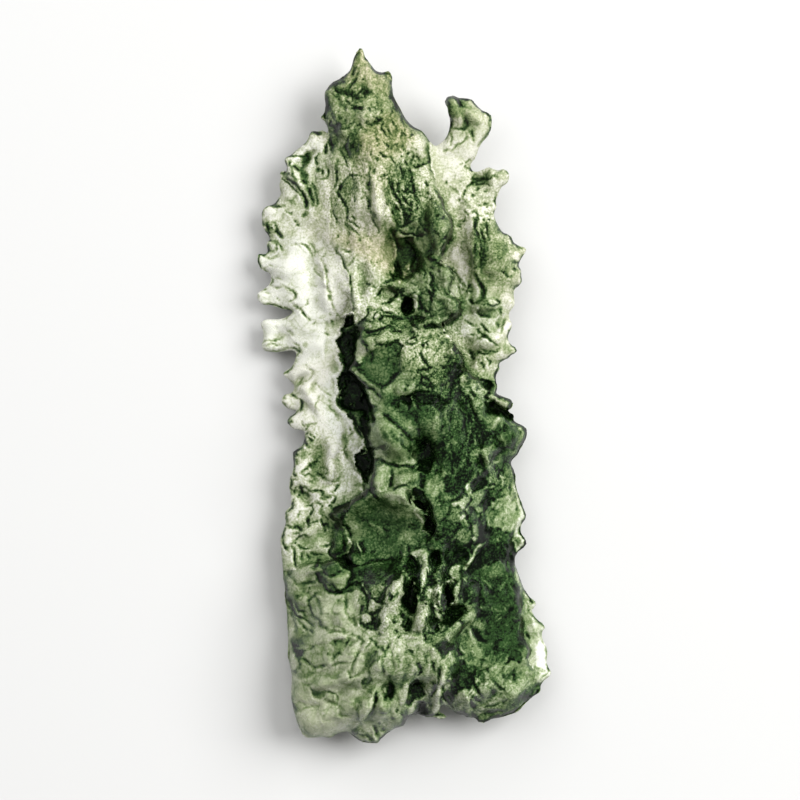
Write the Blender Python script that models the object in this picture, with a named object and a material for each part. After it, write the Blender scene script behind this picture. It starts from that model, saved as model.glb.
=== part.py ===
"""A hedgehog moldavite: a leaf of etched natural glass with a spire, two thin wings and a lumpy base.

The stone lies on its back with its sculpted face up. X runs across it, Y from the base to the spire,
Z up from the surface that it lies on. The origin is the middle of its bounding box, at the bottom.

Its plan is drawn on a grid, x to the right and y down from the grid's corner. LENGTH sets the size of
a grid step. Heights are real sizes in millimetres above the surface that the stone lies on.
"""

import math
from typing import NamedTuple

import bmesh
import bpy
from mathutils import Vector, noise
from mathutils.geometry import delaunay_2d_cdt

MM = 0.001
LENGTH = 46.2 * MM  # from the foot of the base to the tip of the spire
RIM = 0.32  # the wall that runs round the edge of the leaf, in mm
LEAST_THICKNESS = 0.6  # of the leaf inside its edge, in mm
EDGE_ROUND = 0.62  # how far in an edge is rounded, as a share of the thickness there
EDGE_ROUND_LIMITS = (0.45, 2.3)  # and its least and most, in mm
CLIFF = 0.17  # half the width of the step between two levels, in mm
MESH_STEP = 0.56  # between the points of the sculpted faces, in mm
MESH_JITTER = 0.2  # how far a point strays, as a share of MESH_STEP
CLIFF_GAP, FORM_GAP, LEAF_GAP, EDGE_GAP = 0.5, 0.52, 0.74, 0.48  # least gaps, as shares of MESH_STEP
SPOT_REACH = 1.35  # how far a spot height spreads, in mm
ROUGHNESS = 0.16  # height of the uneven surface between the forms, in mm
ROUGHNESS_WAVE = 1.3  # its wavelength, in mm
SEED_OFFSET = Vector((3.7, 11.3, 5.1))
SHARP_ANGLE = math.radians(38.0)

GLASS_COLOUR = (0.19, 0.29, 0.12, 1.0)
GLASS_ROUGHNESS = 0.3
GLASS_IOR = 1.49
GLASS_TRANSMISSION = 0.9

# The edge of the stone, anticlockwise from the tip of the spire.
LEFT_EDGE = [
    (361.5, 49.5), (359, 51), (356.5, 55), (354, 60), (352.5, 66), (350, 72), (344, 77), (339, 80.5),
    (333, 83), (328.5, 88.5), (325.5, 92), (325, 99), (326, 106), (325, 113), (322, 117.5), (325.5, 122),
    (328, 128), (328, 134), (323.5, 131), (318, 132), (311.5, 131.5), (309.5, 136), (307, 141),
    (301, 147), (295, 151.5), (291, 155.5), (284.5, 159), (287, 166), (286.5, 171.5), (280.5, 172),
    (281, 176), (280.5, 182), (279.5, 187), (281.5, 193.5), (277.5, 199), (274, 204), (266.5, 206),
    (262, 211), (262, 218), (263, 227), (267, 233), (270.5, 239), (266.5, 243), (268, 251), (265, 254.5),
    (258, 254), (258, 261), (263, 270), (267, 271.5), (271, 275), (271, 280), (268, 286), (262, 290.5),
    (257.3, 294), (259, 300), (261, 303.3), (270, 304), (277, 306.5), (285, 309), (291.5, 310),
    (292.8, 312.5), (289, 315.5), (283, 318.5), (272, 319.5), (261.5, 321), (263, 330), (263, 341),
    (261.5, 346), (266, 350.5), (277, 351.7), (290, 350.2), (296, 351.7), (296, 357.5), (294, 363),
    (290.5, 368.5), (282.5, 373.5), (288, 378.5), (294.5, 385.5), (292, 393.3), (284, 395),
    (281.5, 401.5), (286, 407), (292, 409.7), (297, 410.2), (294, 414.5), (288.5, 418), (288.7, 424.5),
    (296, 429), (305, 431), (304.7, 438), (302.5, 446), (296, 450), (293, 454), (294, 462),
    (292.7, 472), (290, 480), (290, 488), (291.7, 498), (290.7, 507), (285, 512), (286.3, 521.5),
    (283.3, 531), (280.8, 538), (281.5, 549), (282.6, 563), (283.5, 578), (285.3, 588), (285, 598),
    (287, 610), (287.5, 625), (288.3, 641), (288.3, 658), (291.5, 672), (292, 683), (291.2, 695),
    (293.5, 706.5), (296.5, 718), (300.5, 729),
]
BASE_EDGE = [
    (305, 736), (312, 737.2), (322, 736.3), (331, 736.6), (338, 732.8), (348, 731.5), (353.5, 736),
    (361, 741), (369, 742.3), (376.5, 743), (381, 738.3), (389.5, 731.3), (396, 727), (403.5, 724.5),
    (406, 719.5), (410, 715), (417, 713.2), (424, 716), (432, 716.6), (446, 716), (438.8, 712.6),
    (441, 707), (444, 705.3), (450, 708), (456, 712.5), (463, 714.2), (468, 717), (474, 717),
    (479, 721.4), (485, 722), (491, 718.5), (500, 716.8), (509, 714), (517, 710.7), (523, 705.2),
    (529, 699), (535, 694.5), (540, 690.8), (540.2, 685), (546, 678.5), (550.8, 674.3),
]
RIGHT_EDGE = [
    (548, 668), (546, 661), (547.4, 653), (545, 644.5), (541.9, 638.5), (542.2, 631), (545, 627.6),
    (540, 622.5), (535.5, 618), (531.4, 611.5), (533.5, 607), (536, 604.5), (531, 599), (526.5, 593.5),
    (523, 587), (519.8, 578), (516.5, 570), (514.3, 560.5), (516, 553.8), (521, 548.6), (526.2, 541.8),
    (522.5, 536.5), (520, 529), (522, 523), (525.8, 518), (523.5, 509.5), (520, 499.5), (517.3, 492.5),
    (515, 482.5), (515.3, 476), (512.5, 468), (510.6, 462.5), (513.5, 458.2), (517.7, 454),
    (519.7, 449), (524.5, 441), (526.7, 434.3), (524.5, 427), (519, 424.2), (513.5, 421), (512.5, 415),
    (507.5, 410.3), (511.8, 401.3), (506, 398), (500, 395.7), (495.7, 393.5), (496.4, 386),
    (495.5, 376), (499, 368.3), (499, 363), (506, 359), (512, 353.8), (516.5, 351), (513, 347),
    (508, 342.5), (508, 334), (511.7, 326.2), (509.2, 320.5), (508.7, 312.5), (514.4, 305.5),
    (513.5, 297), (514.2, 288.7), (521.5, 282.8), (520.6, 275.5), (520.7, 270.3), (518, 265.8),
    (522, 256.5), (526, 249), (519, 246.6), (513, 242.7), (509.7, 236), (504, 233.8), (500, 230),
    (496, 222), (493.2, 213.5), (496.3, 207.8), (495, 201.5), (498, 193.5), (501, 187), (506.5, 183.8),
    (508.5, 175.5), (505, 170.6), (497, 171.8), (489.5, 168.5), (479, 172.5), (471.5, 171),
    (470, 164.5), (475.3, 158), (478, 149.5), (482.5, 142), (489, 134), (490.7, 125),
    (488.7, 114.7), (481.5, 112), (474.5, 105), (470, 100.7), (458, 99.8), (446, 98.5),
    (448, 110), (450, 120), (449.5, 129), (446, 139), (440, 144.7), (434, 146.8), (428.5, 140.5),
    (421.5, 132), (412, 126.4), (405, 118.5), (399, 108), (392.7, 95.5), (391.6, 84), (389.5, 72.3),
    (383, 74), (376, 72.3), (371, 66), (364.5, 58),
]
EDGE = LEFT_EDGE + BASE_EDGE + RIGHT_EDGE


class Level(NamedTuple):
    """A stretch of the sculpted face with cliffs round it, and its spot heights in mm."""

    border: list
    spots: list


class Form(NamedTuple):
    """A lump, or with a negative height a pit: an oval on the grid, its long axis turned anticlockwise."""

    x: float
    y: float
    half_length: float
    half_width: float
    turn: float
    height: float


MAIN_SPOTS = [
    (362, 56, 3.6), (356, 70, 4.1), (376, 80, 4.2), (338, 88, 3.4), (350, 94, 4.4), (372, 100, 4.9),
    (334, 112, 3.6), (347, 112, 4.8), (390, 105, 4.0), (365, 128, 5.3), (345, 150, 4.8), (395, 134, 4.7),
    (416, 136, 3.4), (380, 160, 5.7), (340, 185, 4.2), (360, 200, 5.6), (378, 205, 5.9), (402, 200, 4.8),
    (424, 160, 3.8), (420, 190, 4.7), (440, 220, 5.4), (430, 242, 5.6), (338, 228, 3.9), (362, 240, 5.0),
    (346, 262, 4.2), (364, 270, 4.6), (378, 290, 5.3), (405, 255, 2.7), (440, 282, 6.0), (424, 292, 5.6),
    (407, 306, 4.2), (452, 306, 5.9), (362, 308, 4.9), (375, 326, 5.8), (430, 338, 6.3), (352, 335, 4.9),
    (380, 362, 5.7), (420, 372, 6.8), (452, 376, 5.4), (355, 395, 4.6), (385, 396, 6.2), (402, 412, 6.9),
    (440, 420, 6.6), (480, 392, 4.1), (484, 420, 4.6), (507, 432, 3.4), (482, 446, 4.6), (508, 456, 3.1),
    (390, 440, 7.2), (424, 452, 4.9), (460, 468, 5.6), (366, 462, 4.6), (384, 474, 6.5), (487, 492, 4.5),
    (508, 480, 3.3), (512, 506, 2.9), (398, 492, 6.4), (442, 506, 6.6), (500, 528, 3.2), (464, 528, 6.1),
    (362, 500, 5.7), (385, 535, 4.9), (418, 552, 6.7), (338, 528, 4.4), (352, 560, 5.2), (336, 575, 5.2),
    (470, 556, 4.5), (500, 562, 3.9), (308, 592, 3.9), (296, 620, 3.2), (340, 606, 5.7), (372, 602, 6.9),
    (398, 600, 7.6), (424, 618, 8.1), (456, 600, 6.3), (486, 612, 4.9), (508, 620, 4.1), (304, 650, 4.3),
    (330, 646, 6.2), (360, 656, 7.4), (400, 655, 8.0), (436, 660, 7.1), (476, 650, 4.8), (508, 656, 4.5),
    (300, 690, 4.4), (330, 690, 5.5), (362, 700, 6.6), (400, 696, 6.1), (430, 696, 4.8), (464, 688, 5.1),
    (498, 690, 4.7), (528, 682, 3.7), (320, 722, 4.1), (370, 732, 3.6), (482, 710, 3.5), (436, 712, 2.6),
]
LEVELS = [
    Level(  # the left wing, behind the wavy cliff of the body
        [
            (329, 134), (331, 158), (333, 182), (330, 215), (330, 244), (340, 255), (345, 268), (350, 281),
            (351.5, 300), (353, 316), (346, 317.5), (344, 325), (340.5, 335), (334.5, 341), (338.5, 350),
            (342, 361), (343.5, 369), (337, 378), (338.5, 391), (336, 403.5), (341, 410), (351, 419),
            (356, 431), (364.5, 438.5), (365, 446), (355, 455), (357, 467), (363, 478), (364, 491),
            (354, 498), (346, 508), (331, 513), (337, 520), (347, 528), (352, 541), (348, 553), (334, 558),
            (320, 562), (306, 567), (293, 569), (262, 575), (240, 575), (240, 120), (329, 120),
        ],
        [
            (316, 140, 2.7), (296, 165, 2.6), (322, 165, 3.1), (275, 215, 2.0), (300, 200, 2.7),
            (322, 205, 3.5), (267, 247, 2.0), (298, 245, 2.8), (322, 238, 3.3), (270, 297, 2.2),
            (300, 285, 2.9), (336, 290, 3.4), (268, 335, 1.9), (300, 325, 2.8), (328, 335, 2.9),
            (276, 347, 1.8), (312, 368, 2.7), (330, 385, 2.6), (288, 400, 1.9), (318, 410, 2.7),
            (340, 432, 2.8), (308, 440, 2.8), (346, 472, 3.2), (304, 480, 2.9), (334, 498, 3.3),
            (298, 520, 2.6), (322, 540, 3.2), (296, 556, 2.6),
        ],
    ),
    Level(  # the right wing, under the hooked lobes of the spire
        [
            (428, 140), (429, 152), (430, 163), (433, 178), (438.5, 192), (445, 210), (451, 218),
            (452.7, 227), (451, 239), (445, 247.5), (440.3, 263), (447, 268), (453, 274), (452.5, 282),
            (448, 292.5), (455, 298), (462, 303), (461, 312), (452, 321), (441.6, 325.5), (446, 336),
            (455, 345), (462, 356), (465, 368), (470, 374.5), (476, 377.5), (484, 380), (492, 382),
            (512, 384), (560, 384), (560, 80), (432, 80), (430, 120),
        ],
        [
            (455, 106, 4.6), (480, 124, 4.1), (460, 140, 3.6), (444, 158, 3.1), (462, 185, 2.9),
            (446, 200, 2.9), (482, 192, 3.2), (502, 178, 3.8), (470, 218, 3.3), (456, 250, 2.7),
            (475, 252, 4.4), (500, 256, 4.1), (518, 262, 3.4), (490, 286, 3.8), (460, 286, 2.7),
            (482, 306, 3.6), (504, 308, 3.1), (472, 330, 2.8), (502, 334, 3.3), (454, 336, 2.9),
            (484, 350, 3.5), (509, 350, 3.5), (476, 366, 2.9), (491, 374, 3.2),
        ],
    ),
    Level(  # the thin flange outside the dark hollow of the base
        [
            (514, 556), (513.5, 567), (517, 578), (518.6, 590), (520, 612), (521, 630), (526, 641),
            (530.7, 651), (527, 658), (531, 666), (538, 673), (542, 681), (552, 690), (575, 690), (575, 556),
        ],
        [(519, 575, 2.5), (527, 603, 2.6), (532, 628, 2.7), (539, 652, 2.6), (545, 676, 3.0)],
    ),
    Level(  # the clear tooth above it
        [(524, 517), (518, 525), (512, 533), (510, 541), (510, 548), (514, 556), (540, 556), (540, 517)],
        [(517, 532, 2.5), (520, 542, 3.0), (515, 550, 2.5)],
    ),
    Level(  # the squared finger over the black hollow below the right wing
        [(489, 397), (494, 402), (501, 407), (507, 411), (525, 411), (525, 384), (496, 390)],
        [(500, 401, 4.3)],
    ),
    Level(  # the clear fin down the left of the base
        [(260, 572), (293, 570), (290.5, 590), (294, 606), (295, 628), (293, 655), (296, 668), (296, 684),
         (293, 697), (270, 700)],
        [(288, 580, 2.6), (289, 625, 2.1), (292, 680, 2.3)],
    ),
]
UNDERSIDE_SPOTS = [
    (316, 140, 1.5), (284, 165, 1.6), (275, 215, 0.9), (310, 230, 1.6), (262, 256, 1.1), (266, 298, 1.2),
    (320, 300, 1.8), (270, 338, 0.7), (320, 350, 1.5), (286, 400, 0.9), (322, 440, 1.5), (300, 480, 1.5),
    (300, 522, 1.4), (322, 500, 1.7), (362, 58, 2.6), (372, 90, 2.2), (340, 108, 2.0), (380, 150, 1.3),
    (350, 200, 1.3), (402, 215, 0.9), (400, 300, 0.7), (420, 360, 0.5), (372, 400, 0.8), (400, 450, 0.3),
    (380, 520, 0.5), (430, 560, 0.3), (400, 620, 0.4), (465, 110, 2.9), (460, 148, 2.2), (468, 190, 1.6),
    (500, 178, 2.5), (452, 250, 1.3), (502, 258, 1.8), (480, 320, 1.4), (510, 345, 2.1), (470, 372, 1.0),
    (503, 402, 2.3), (514, 436, 1.5), (486, 462, 0.9), (512, 510, 1.5), (519, 542, 1.8), (290, 600, 1.2),
    (302, 650, 1.1), (300, 710, 1.2), (344, 722, 1.0), (374, 736, 1.1), (420, 702, 0.8), (470, 702, 1.1),
    (510, 694, 1.3), (500, 620, 1.0), (538, 640, 1.6), (470, 560, 0.6), (442, 716, 1.4), (340, 600, 0.6),
    (350, 660, 0.4), (450, 650, 0.4),
]
TOP_FORMS = [
    # the base: a fan of slanting lumps with leaf-shaped pits between them
    Form(328, 647, 26, 11, 28, 0.9), Form(352, 648, 22, 7, 36, 0.9), Form(377, 662, 22, 8.5, 62, 0.9),
    Form(402, 657, 30, 13, 78, 0.8), Form(428, 668, 28, 9, 98, 0.8), Form(440, 688, 26, 4.5, 76, 1.5),
    Form(366, 706, 19, 7.5, 64, 1.0), Form(385, 702, 20, 6, 68, 0.9), Form(336, 680, 26, 9, 16, 0.7),
    Form(324, 718, 32, 15, 6, 0.7), Form(322, 612, 16, 12, 20, 0.5), Form(344, 612, 14, 10, 80, 0.6),
    Form(388, 688, 11, 5, 82, -1.5), Form(417, 689, 12, 7.5, 80, -1.9), Form(423, 708, 9, 7.5, 80, -1.7),
    Form(322, 692, 15, 7, 12, -0.9), Form(298, 648, 12, 5, 120, -1.6), Form(302, 612, 18, 3.5, 140, -0.9),
    # the lumps and hollows above them
    Form(393, 592, 25, 8, 66, 1.0), Form(388, 614, 16, 9, 80, 0.8), Form(422, 612, 17, 8.5, 68, 1.1),
    Form(439, 592, 25, 4.5, 96, 1.2), Form(456, 584, 19, 5, 75, 1.0), Form(459, 622, 20, 6.5, 38, 0.9),
    Form(411, 596, 28, 6, 84, -2.0), Form(448, 596, 13, 4, 86, -1.6), Form(450, 614, 18, 5.5, 28, -1.7),
    Form(412, 559, 9, 6.5, 100, -2.2), Form(435, 556, 10, 7, 90, -1.6), Form(336, 573, 17, 14, 20, 0.7),
    Form(341, 538, 19, 10, 80, 0.5), Form(347, 558, 8, 6, 60, -1.7), Form(306, 566, 15, 9, 160, 0.5),
    # the big smooth bowl in the middle and the dark ones at the right
    Form(388, 536, 46, 40, 150, -1.9), Form(400, 494, 20, 12, 20, 0.7), Form(359, 547, 8, 2.5, 100, 0.6),
    Form(418, 503, 22, 4, 138, -2.2), Form(429, 524, 15, 4, 104, -2.2), Form(492, 552, 26, 15, 10, -1.2),
    Form(493, 569, 14, 9, 10, 0.9), Form(500, 632, 31, 27, 110, -1.6), Form(472, 554, 18, 4, 50, 1.0),
    Form(490, 684, 22, 10, 40, 0.8), Form(516, 688, 18, 8, 42, 0.6), Form(470, 694, 15, 7, 60, 0.6),
    Form(486, 712, 24, 6, 4, -0.7),
    # the body: leaf-shaped lobe, kite-shaped hollow and the black pits beside them
    Form(392, 438, 29, 15, 124, 1.1), Form(424, 452, 20, 8, 112, -2.3), Form(378, 478, 13, 9, 80, 0.7),
    Form(404, 478, 15, 9, 20, 0.7), Form(383, 366, 24, 15, 132, -1.5), Form(373, 342, 20, 7, 10, 0.8),
    Form(418, 398, 28, 4, 4, -1.7), Form(354, 340, 20, 7, 82, -2.0), Form(352, 394, 20, 10, 110, -1.9),
    Form(362, 462, 17, 7, 100, -2.0), Form(450, 440, 34, 17, 84, 0.8), Form(436, 388, 15, 9, 10, 0.6),
    Form(430, 344, 24, 15, 30, 0.6), Form(476, 402, 16, 10, 100, 0.7), Form(498, 408, 14, 6, 152, -1.6),
    Form(487, 384, 9, 5, 160, -1.2), Form(486, 456, 15, 5, 100, 0.9), Form(508, 438, 13, 12, 0, 0.6),
    Form(486, 436, 9, 7, 60, -1.1), Form(500, 514, 20, 14, 60, 0.6), Form(474, 508, 12, 9, 40, -0.9),
    Form(464, 366, 7, 4, 60, -1.2),
    # the spire and the chasm below it
    Form(405, 256, 26, 11, 96, -1.6), Form(389, 294, 11, 8, 0, -1.0), Form(408, 306, 10, 7, 60, -1.6),
    Form(402, 204, 32, 8, 96, -1.1), Form(378, 206, 31, 6.5, 98, 0.9), Form(347, 200, 25, 9, 80, -1.1),
    Form(352, 98, 12, 6, 30, -0.9), Form(353, 148, 15, 8, 85, -1.1), Form(368, 66, 13, 4, 105, 0.6),
    Form(415, 146, 17, 12, 120, 0.5), Form(366, 118, 16, 9, 10, 0.6), Form(436, 228, 28, 10, 100, 0.8),
    Form(446, 276, 14, 8, 120, 0.7), Form(452, 308, 13, 9, 80, 0.7), Form(362, 280, 20, 11, 88, -0.6),
    # the wings
    Form(284, 226, 17, 10, 60, -0.5), Form(284, 268, 20, 13, 10, 0.4), Form(280, 297, 16, 9, 0, -0.5),
    Form(294, 176, 17, 7, 122, 0.7), Form(306, 158, 14, 7, 40, -0.7), Form(278, 336, 14, 12, 0, -0.4),
    Form(327, 285, 36, 4, 92, 0.5), Form(313, 262, 36, 11, 88, -0.4), Form(311, 398, 22, 7, 122, 0.5),
    Form(300, 380, 12, 8, 30, -0.5), Form(318, 462, 26, 10, 84, -0.6), Form(302, 440, 14, 8, 60, 0.6),
    Form(332, 462, 30, 5, 86, 0.5), Form(304, 496, 16, 9, 120, -0.6), Form(310, 530, 14, 8, 30, 0.6),
    Form(454, 110, 13, 6, 108, 0.9), Form(472, 118, 14, 9, 150, 0.5), Form(480, 180, 10, 4, 6, -0.9),
    Form(475, 250, 34, 5.5, 92, 0.9), Form(496, 262, 18, 14, 40, 0.6), Form(460, 220, 30, 8, 92, -0.4),
    Form(486, 306, 14, 7, 20, 0.7), Form(500, 322, 12, 6, 60, -0.6), Form(486, 342, 17, 9, 20, 0.6),
    Form(468, 350, 18, 9, 110, -0.5),
]
UNDERSIDE_FORMS = [
    # the worn spots that the stone lies on
    Form(394, 258, 15, 11, 90, -1.7), Form(352, 640, 15, 10, 40, -1.2), Form(470, 634, 15, 11, 120, -1.5),
    Form(414, 392, 15, 11, 80, -1.3), Form(404, 560, 16, 10, 60, -1.0), Form(344, 300, 10, 7, 80, -1.2),
    # the etched hollows and folds between them
    Form(420, 300, 22, 8, 70, 0.9), Form(388, 340, 20, 8, 150, 0.8), Form(438, 430, 24, 8, 100, 0.9),
    Form(388, 462, 26, 9, 60, 0.9), Form(424, 510, 24, 9, 110, 0.8), Form(370, 590, 22, 8, 70, 0.9),
    Form(430, 610, 26, 8, 50, 1.0), Form(392, 668, 26, 9, 80, 1.0), Form(440, 672, 20, 8, 110, 0.8),
    Form(322, 688, 22, 9, 30, 0.9), Form(496, 664, 22, 8, 60, 0.8), Form(486, 596, 20, 9, 100, 0.8),
    Form(372, 500, 20, 7, 40, 0.7), Form(470, 490, 22, 8, 80, 0.7), Form(366, 160, 26, 7, 80, 0.6),
    Form(392, 190, 24, 7, 110, -0.5), Form(350, 120, 16, 7, 60, 0.5), Form(374, 232, 20, 6, 70, 0.7),
    Form(306, 200, 22, 7, 60, 0.35), Form(300, 270, 20, 8, 0, -0.4), Form(312, 410, 20, 7, 120, 0.35),
    Form(484, 220, 22, 7, 90, 0.4), Form(496, 300, 18, 7, 60, -0.4), Form(310, 500, 22, 7, 80, -0.4),
    Form(316, 620, 20, 7, 60, 0.7), Form(456, 540, 22, 8, 30, 0.8), Form(412, 716, 18, 6, 0, 0.5),
]

HIGHEST = min(y for _, y in EDGE)
LOWEST = max(y for _, y in EDGE)
MIDDLE = (
    (min(x for x, _ in EDGE) + max(x for x, _ in EDGE)) / 2,
    (HIGHEST + LOWEST) / 2,
)
STEP = LENGTH / MM / (LOWEST - HIGHEST)  # millimetres to a grid step


def placed(x, y):
    """A point of the grid in millimetres from the middle of the stone."""
    return Vector(((x - MIDDLE[0]) * STEP, (MIDDLE[1] - y) * STEP))


def distance_to(point, ring):
    """How far a point is from a closed ring."""
    nearest = math.inf
    for index, end in enumerate(ring):
        start = ring[index - 1]
        along = end - start
        share = min(max((point - start).dot(along) / along.length_squared, 0.0), 1.0)
        nearest = min(nearest, (point - start - along * share).length)
    return nearest


def inside(point, ring):
    """Whether a point lies within a closed ring."""
    odd = False
    for index, end in enumerate(ring):
        start = ring[index - 1]
        if (start.y > point.y) != (end.y > point.y):
            crossing = start.x + (point.y - start.y) / (end.y - start.y) * (end.x - start.x)
            odd ^= point.x < crossing
    return odd


def smooth(value):
    """0 to 1 with level ends."""
    value = min(max(value, 0.0), 1.0)
    return value * value * (3.0 - 2.0 * value)


def spread(point, spots):
    """The height at a point that spot heights give between them."""
    total = weight = 0.0
    for spot, height in spots:
        share = math.exp(-(((point - spot).length / SPOT_REACH) ** 2)) + 1e-9 / (
            1.0 + (point - spot).length_squared
        )
        total += share * height
        weight += share
    return total / weight


def form_height(point, forms):
    """The highest lump and the deepest pit at a point, added together."""
    lump = pit = 0.0
    for form in forms:
        turn = math.radians(form.turn)
        offset = (point - placed(form.x, form.y)) / STEP
        along = (offset.x * math.cos(turn) + offset.y * math.sin(turn)) / form.half_length
        across = (offset.y * math.cos(turn) - offset.x * math.sin(turn)) / form.half_width
        bulge = form.height * max(0.0, 1.0 - along * along - across * across)
        lump = max(lump, bulge)
        pit = min(pit, bulge)
    return lump + pit


def uneven(point, wave, side):
    """A rolling unevenness between -1 and 1, other on each side of the stone."""
    place = Vector((point.x / wave, point.y / wave, side)) + SEED_OFFSET
    return noise.fractal(place, 0.9, 2.0, 3)


EDGE_RING = [placed(x, y) for x, y in EDGE]
LEVEL_RINGS = [[placed(x, y) for x, y in level.border] for level in LEVELS]
MAIN_FIELD = [(placed(x, y), height) for x, y, height in MAIN_SPOTS]
LEVEL_FIELDS = [[(placed(x, y), height) for x, y, height in level.spots] for level in LEVELS]
UNDERSIDE_FIELD = [(placed(x, y), height) for x, y, height in UNDERSIDE_SPOTS]


def heights(point, edge_distance):
    """The heights of the underside and of the sculpted face at a point, in mm."""
    top = spread(point, MAIN_FIELD)
    for ring, field in zip(LEVEL_RINGS, LEVEL_FIELDS):
        depth = distance_to(point, ring)
        if not inside(point, ring):
            depth = -depth
        if depth > -CLIFF:
            top += smooth((depth / CLIFF + 1.0) / 2.0) * (spread(point, field) - top)
    bottom = spread(point, UNDERSIDE_FIELD)
    middle = (top + bottom) / 2.0
    reach = min(max((top - bottom) * EDGE_ROUND, EDGE_ROUND_LIMITS[0]), EDGE_ROUND_LIMITS[1])
    inwards = min(edge_distance / reach, 1.0)
    fullness = math.sqrt(1.0 - (1.0 - inwards) ** 2)
    relief = form_height(point, TOP_FORMS) + ROUGHNESS * uneven(point, ROUGHNESS_WAVE, 0.0)
    under_relief = form_height(point, UNDERSIDE_FORMS) + ROUGHNESS * uneven(point, ROUGHNESS_WAVE, 40.0)
    top = middle + RIM / 2.0 + (top + relief - middle - RIM / 2.0) * fullness
    bottom = middle - RIM / 2.0 + (bottom + under_relief - middle + RIM / 2.0) * fullness
    bottom = max(bottom, 0.0)
    least = RIM + (LEAST_THICKNESS - RIM) * fullness
    return bottom, max(top, bottom + least)


def along_cliffs():
    """Points just above and just below each cliff, so that the mesh keeps it steep."""
    points = []
    for ring in LEVEL_RINGS:
        for index, end in enumerate(ring):
            start = ring[index - 1]
            along = end - start
            aside = Vector((-along.y, along.x)).normalized() * CLIFF * 1.15
            stretches = max(1, round(along.length / MESH_STEP))
            for number in range(stretches):
                place = start + along * ((number + 0.5) / stretches)
                points += [place + aside, place - aside]
    return points


def along_forms():
    """Points along the crest or floor of each form and round its foot."""
    points = []
    for form in TOP_FORMS + UNDERSIDE_FORMS:
        turn = math.radians(form.turn)
        centre = placed(form.x, form.y)
        along = Vector((math.cos(turn), math.sin(turn))) * form.half_length * STEP
        across = Vector((-math.sin(turn), math.cos(turn))) * form.half_width * STEP
        crest_count = max(1, round(2.0 * along.length / MESH_STEP))
        for number in range(crest_count):
            points.append(centre + along * ((2.0 * number + 1.0) / crest_count - 1.0))
        foot_count = max(6, round(math.pi * (along.length + across.length) / MESH_STEP))
        for number in range(foot_count):
            turned = math.tau * number / foot_count
            points.append(centre + along * math.cos(turned) + across * math.sin(turned))
    return points


def across_leaf():
    """An even scatter of points in staggered rows, each a little off its place."""
    half = placed(max(x for x, _ in EDGE), HIGHEST)
    row_height = MESH_STEP * math.sqrt(3.0) / 2.0
    points = []
    for row in range(-math.ceil(half.y / row_height), math.ceil(half.y / row_height) + 1):
        for column in range(-math.ceil(half.x / MESH_STEP) - 1, math.ceil(half.x / MESH_STEP) + 1):
            place = Vector(((column + 0.5 * (row % 2)) * MESH_STEP, row * row_height))
            stray = noise.noise_vector(Vector((place.x * 7.3, place.y * 7.3, 2.5)))
            points.append(place + Vector((stray.x, stray.y)) * MESH_STEP * MESH_JITTER)
    return points


def plan_points():
    """The edge of the stone, then the points inside it, with how far each is from the edge."""
    points = list(EDGE_RING)
    distances = [0.0] * len(points)
    settled = {}
    for candidates, gap in ((along_cliffs(), CLIFF_GAP), (along_forms(), FORM_GAP), (across_leaf(), LEAF_GAP)):
        for point in candidates:
            column, row = round(point.x / MESH_STEP), round(point.y / MESH_STEP)
            near = [settled.get((column + i, row + j), ()) for i in (-1, 0, 1) for j in (-1, 0, 1)]
            if any((point - other).length < gap * MESH_STEP for cell in near for other in cell):
                continue
            if not inside(point, EDGE_RING):
                continue
            edge_distance = distance_to(point, EDGE_RING)
            if edge_distance < EDGE_GAP * MESH_STEP:
                continue
            settled.setdefault((column, row), []).append(point)
            points.append(point)
            distances.append(edge_distance)
    return points, distances


def leaf_mesh():
    """The stone's mesh: its plan filled with triangles, extruded, then both faces sculpted."""
    points, distances = plan_points()
    ring = list(range(len(EDGE_RING)))
    plan, _, triangles, sources, _, _ = delaunay_2d_cdt(points, [], [ring], 1, 1e-6)
    leaf = bmesh.new()
    lower = [leaf.verts.new((point.x * MM, point.y * MM, 0.0)) for point in plan]
    for triangle in triangles:
        leaf.faces.new([lower[corner] for corner in reversed(triangle)])
    extruded = bmesh.ops.extrude_face_region(leaf, geom=list(leaf.faces), use_keep_orig=True)
    upper_at = {}
    for element in extruded["geom"]:
        if isinstance(element, bmesh.types.BMVert):
            upper_at[element.co.to_2d().freeze()] = element
    for vertex, point, source in zip(lower, plan, sources):
        upper = upper_at[vertex.co.to_2d().freeze()]
        bottom, top = heights(point, distances[source[0]])
        vertex.co.z = bottom * MM
        upper.co.z = top * MM
    bmesh.ops.triangulate(leaf, faces=list(leaf.faces))
    bmesh.ops.recalc_face_normals(leaf, faces=list(leaf.faces))
    lowest = min(vertex.co.z for vertex in leaf.verts)
    bmesh.ops.translate(leaf, vec=(0.0, 0.0, -lowest), verts=list(leaf.verts))
    mesh = bpy.data.meshes.new("moldavite")
    leaf.to_mesh(mesh)
    leaf.free()
    return mesh


def moldavite_glass():
    """Bottle-green natural glass with a satin etched skin."""
    material = bpy.data.materials.new("moldavite_glass")
    material.use_nodes = True
    shader = material.node_tree.nodes["Principled BSDF"]
    shader.inputs["Base Color"].default_value = GLASS_COLOUR
    shader.inputs["Roughness"].default_value = GLASS_ROUGHNESS
    shader.inputs["Metallic"].default_value = 0.0
    shader.inputs["IOR"].default_value = GLASS_IOR
    shader.inputs["Transmission Weight"].default_value = GLASS_TRANSMISSION
    return material


def main():
    for old in list(bpy.data.objects):
        bpy.data.objects.remove(old, do_unlink=True)
    mesh = leaf_mesh()
    mesh.materials.append(moldavite_glass())
    mesh.shade_smooth()
    mesh.set_sharp_from_angle(angle=SHARP_ANGLE)
    stone = bpy.data.objects.new("moldavite", mesh)
    bpy.context.scene.collection.objects.link(stone)


main()
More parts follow.
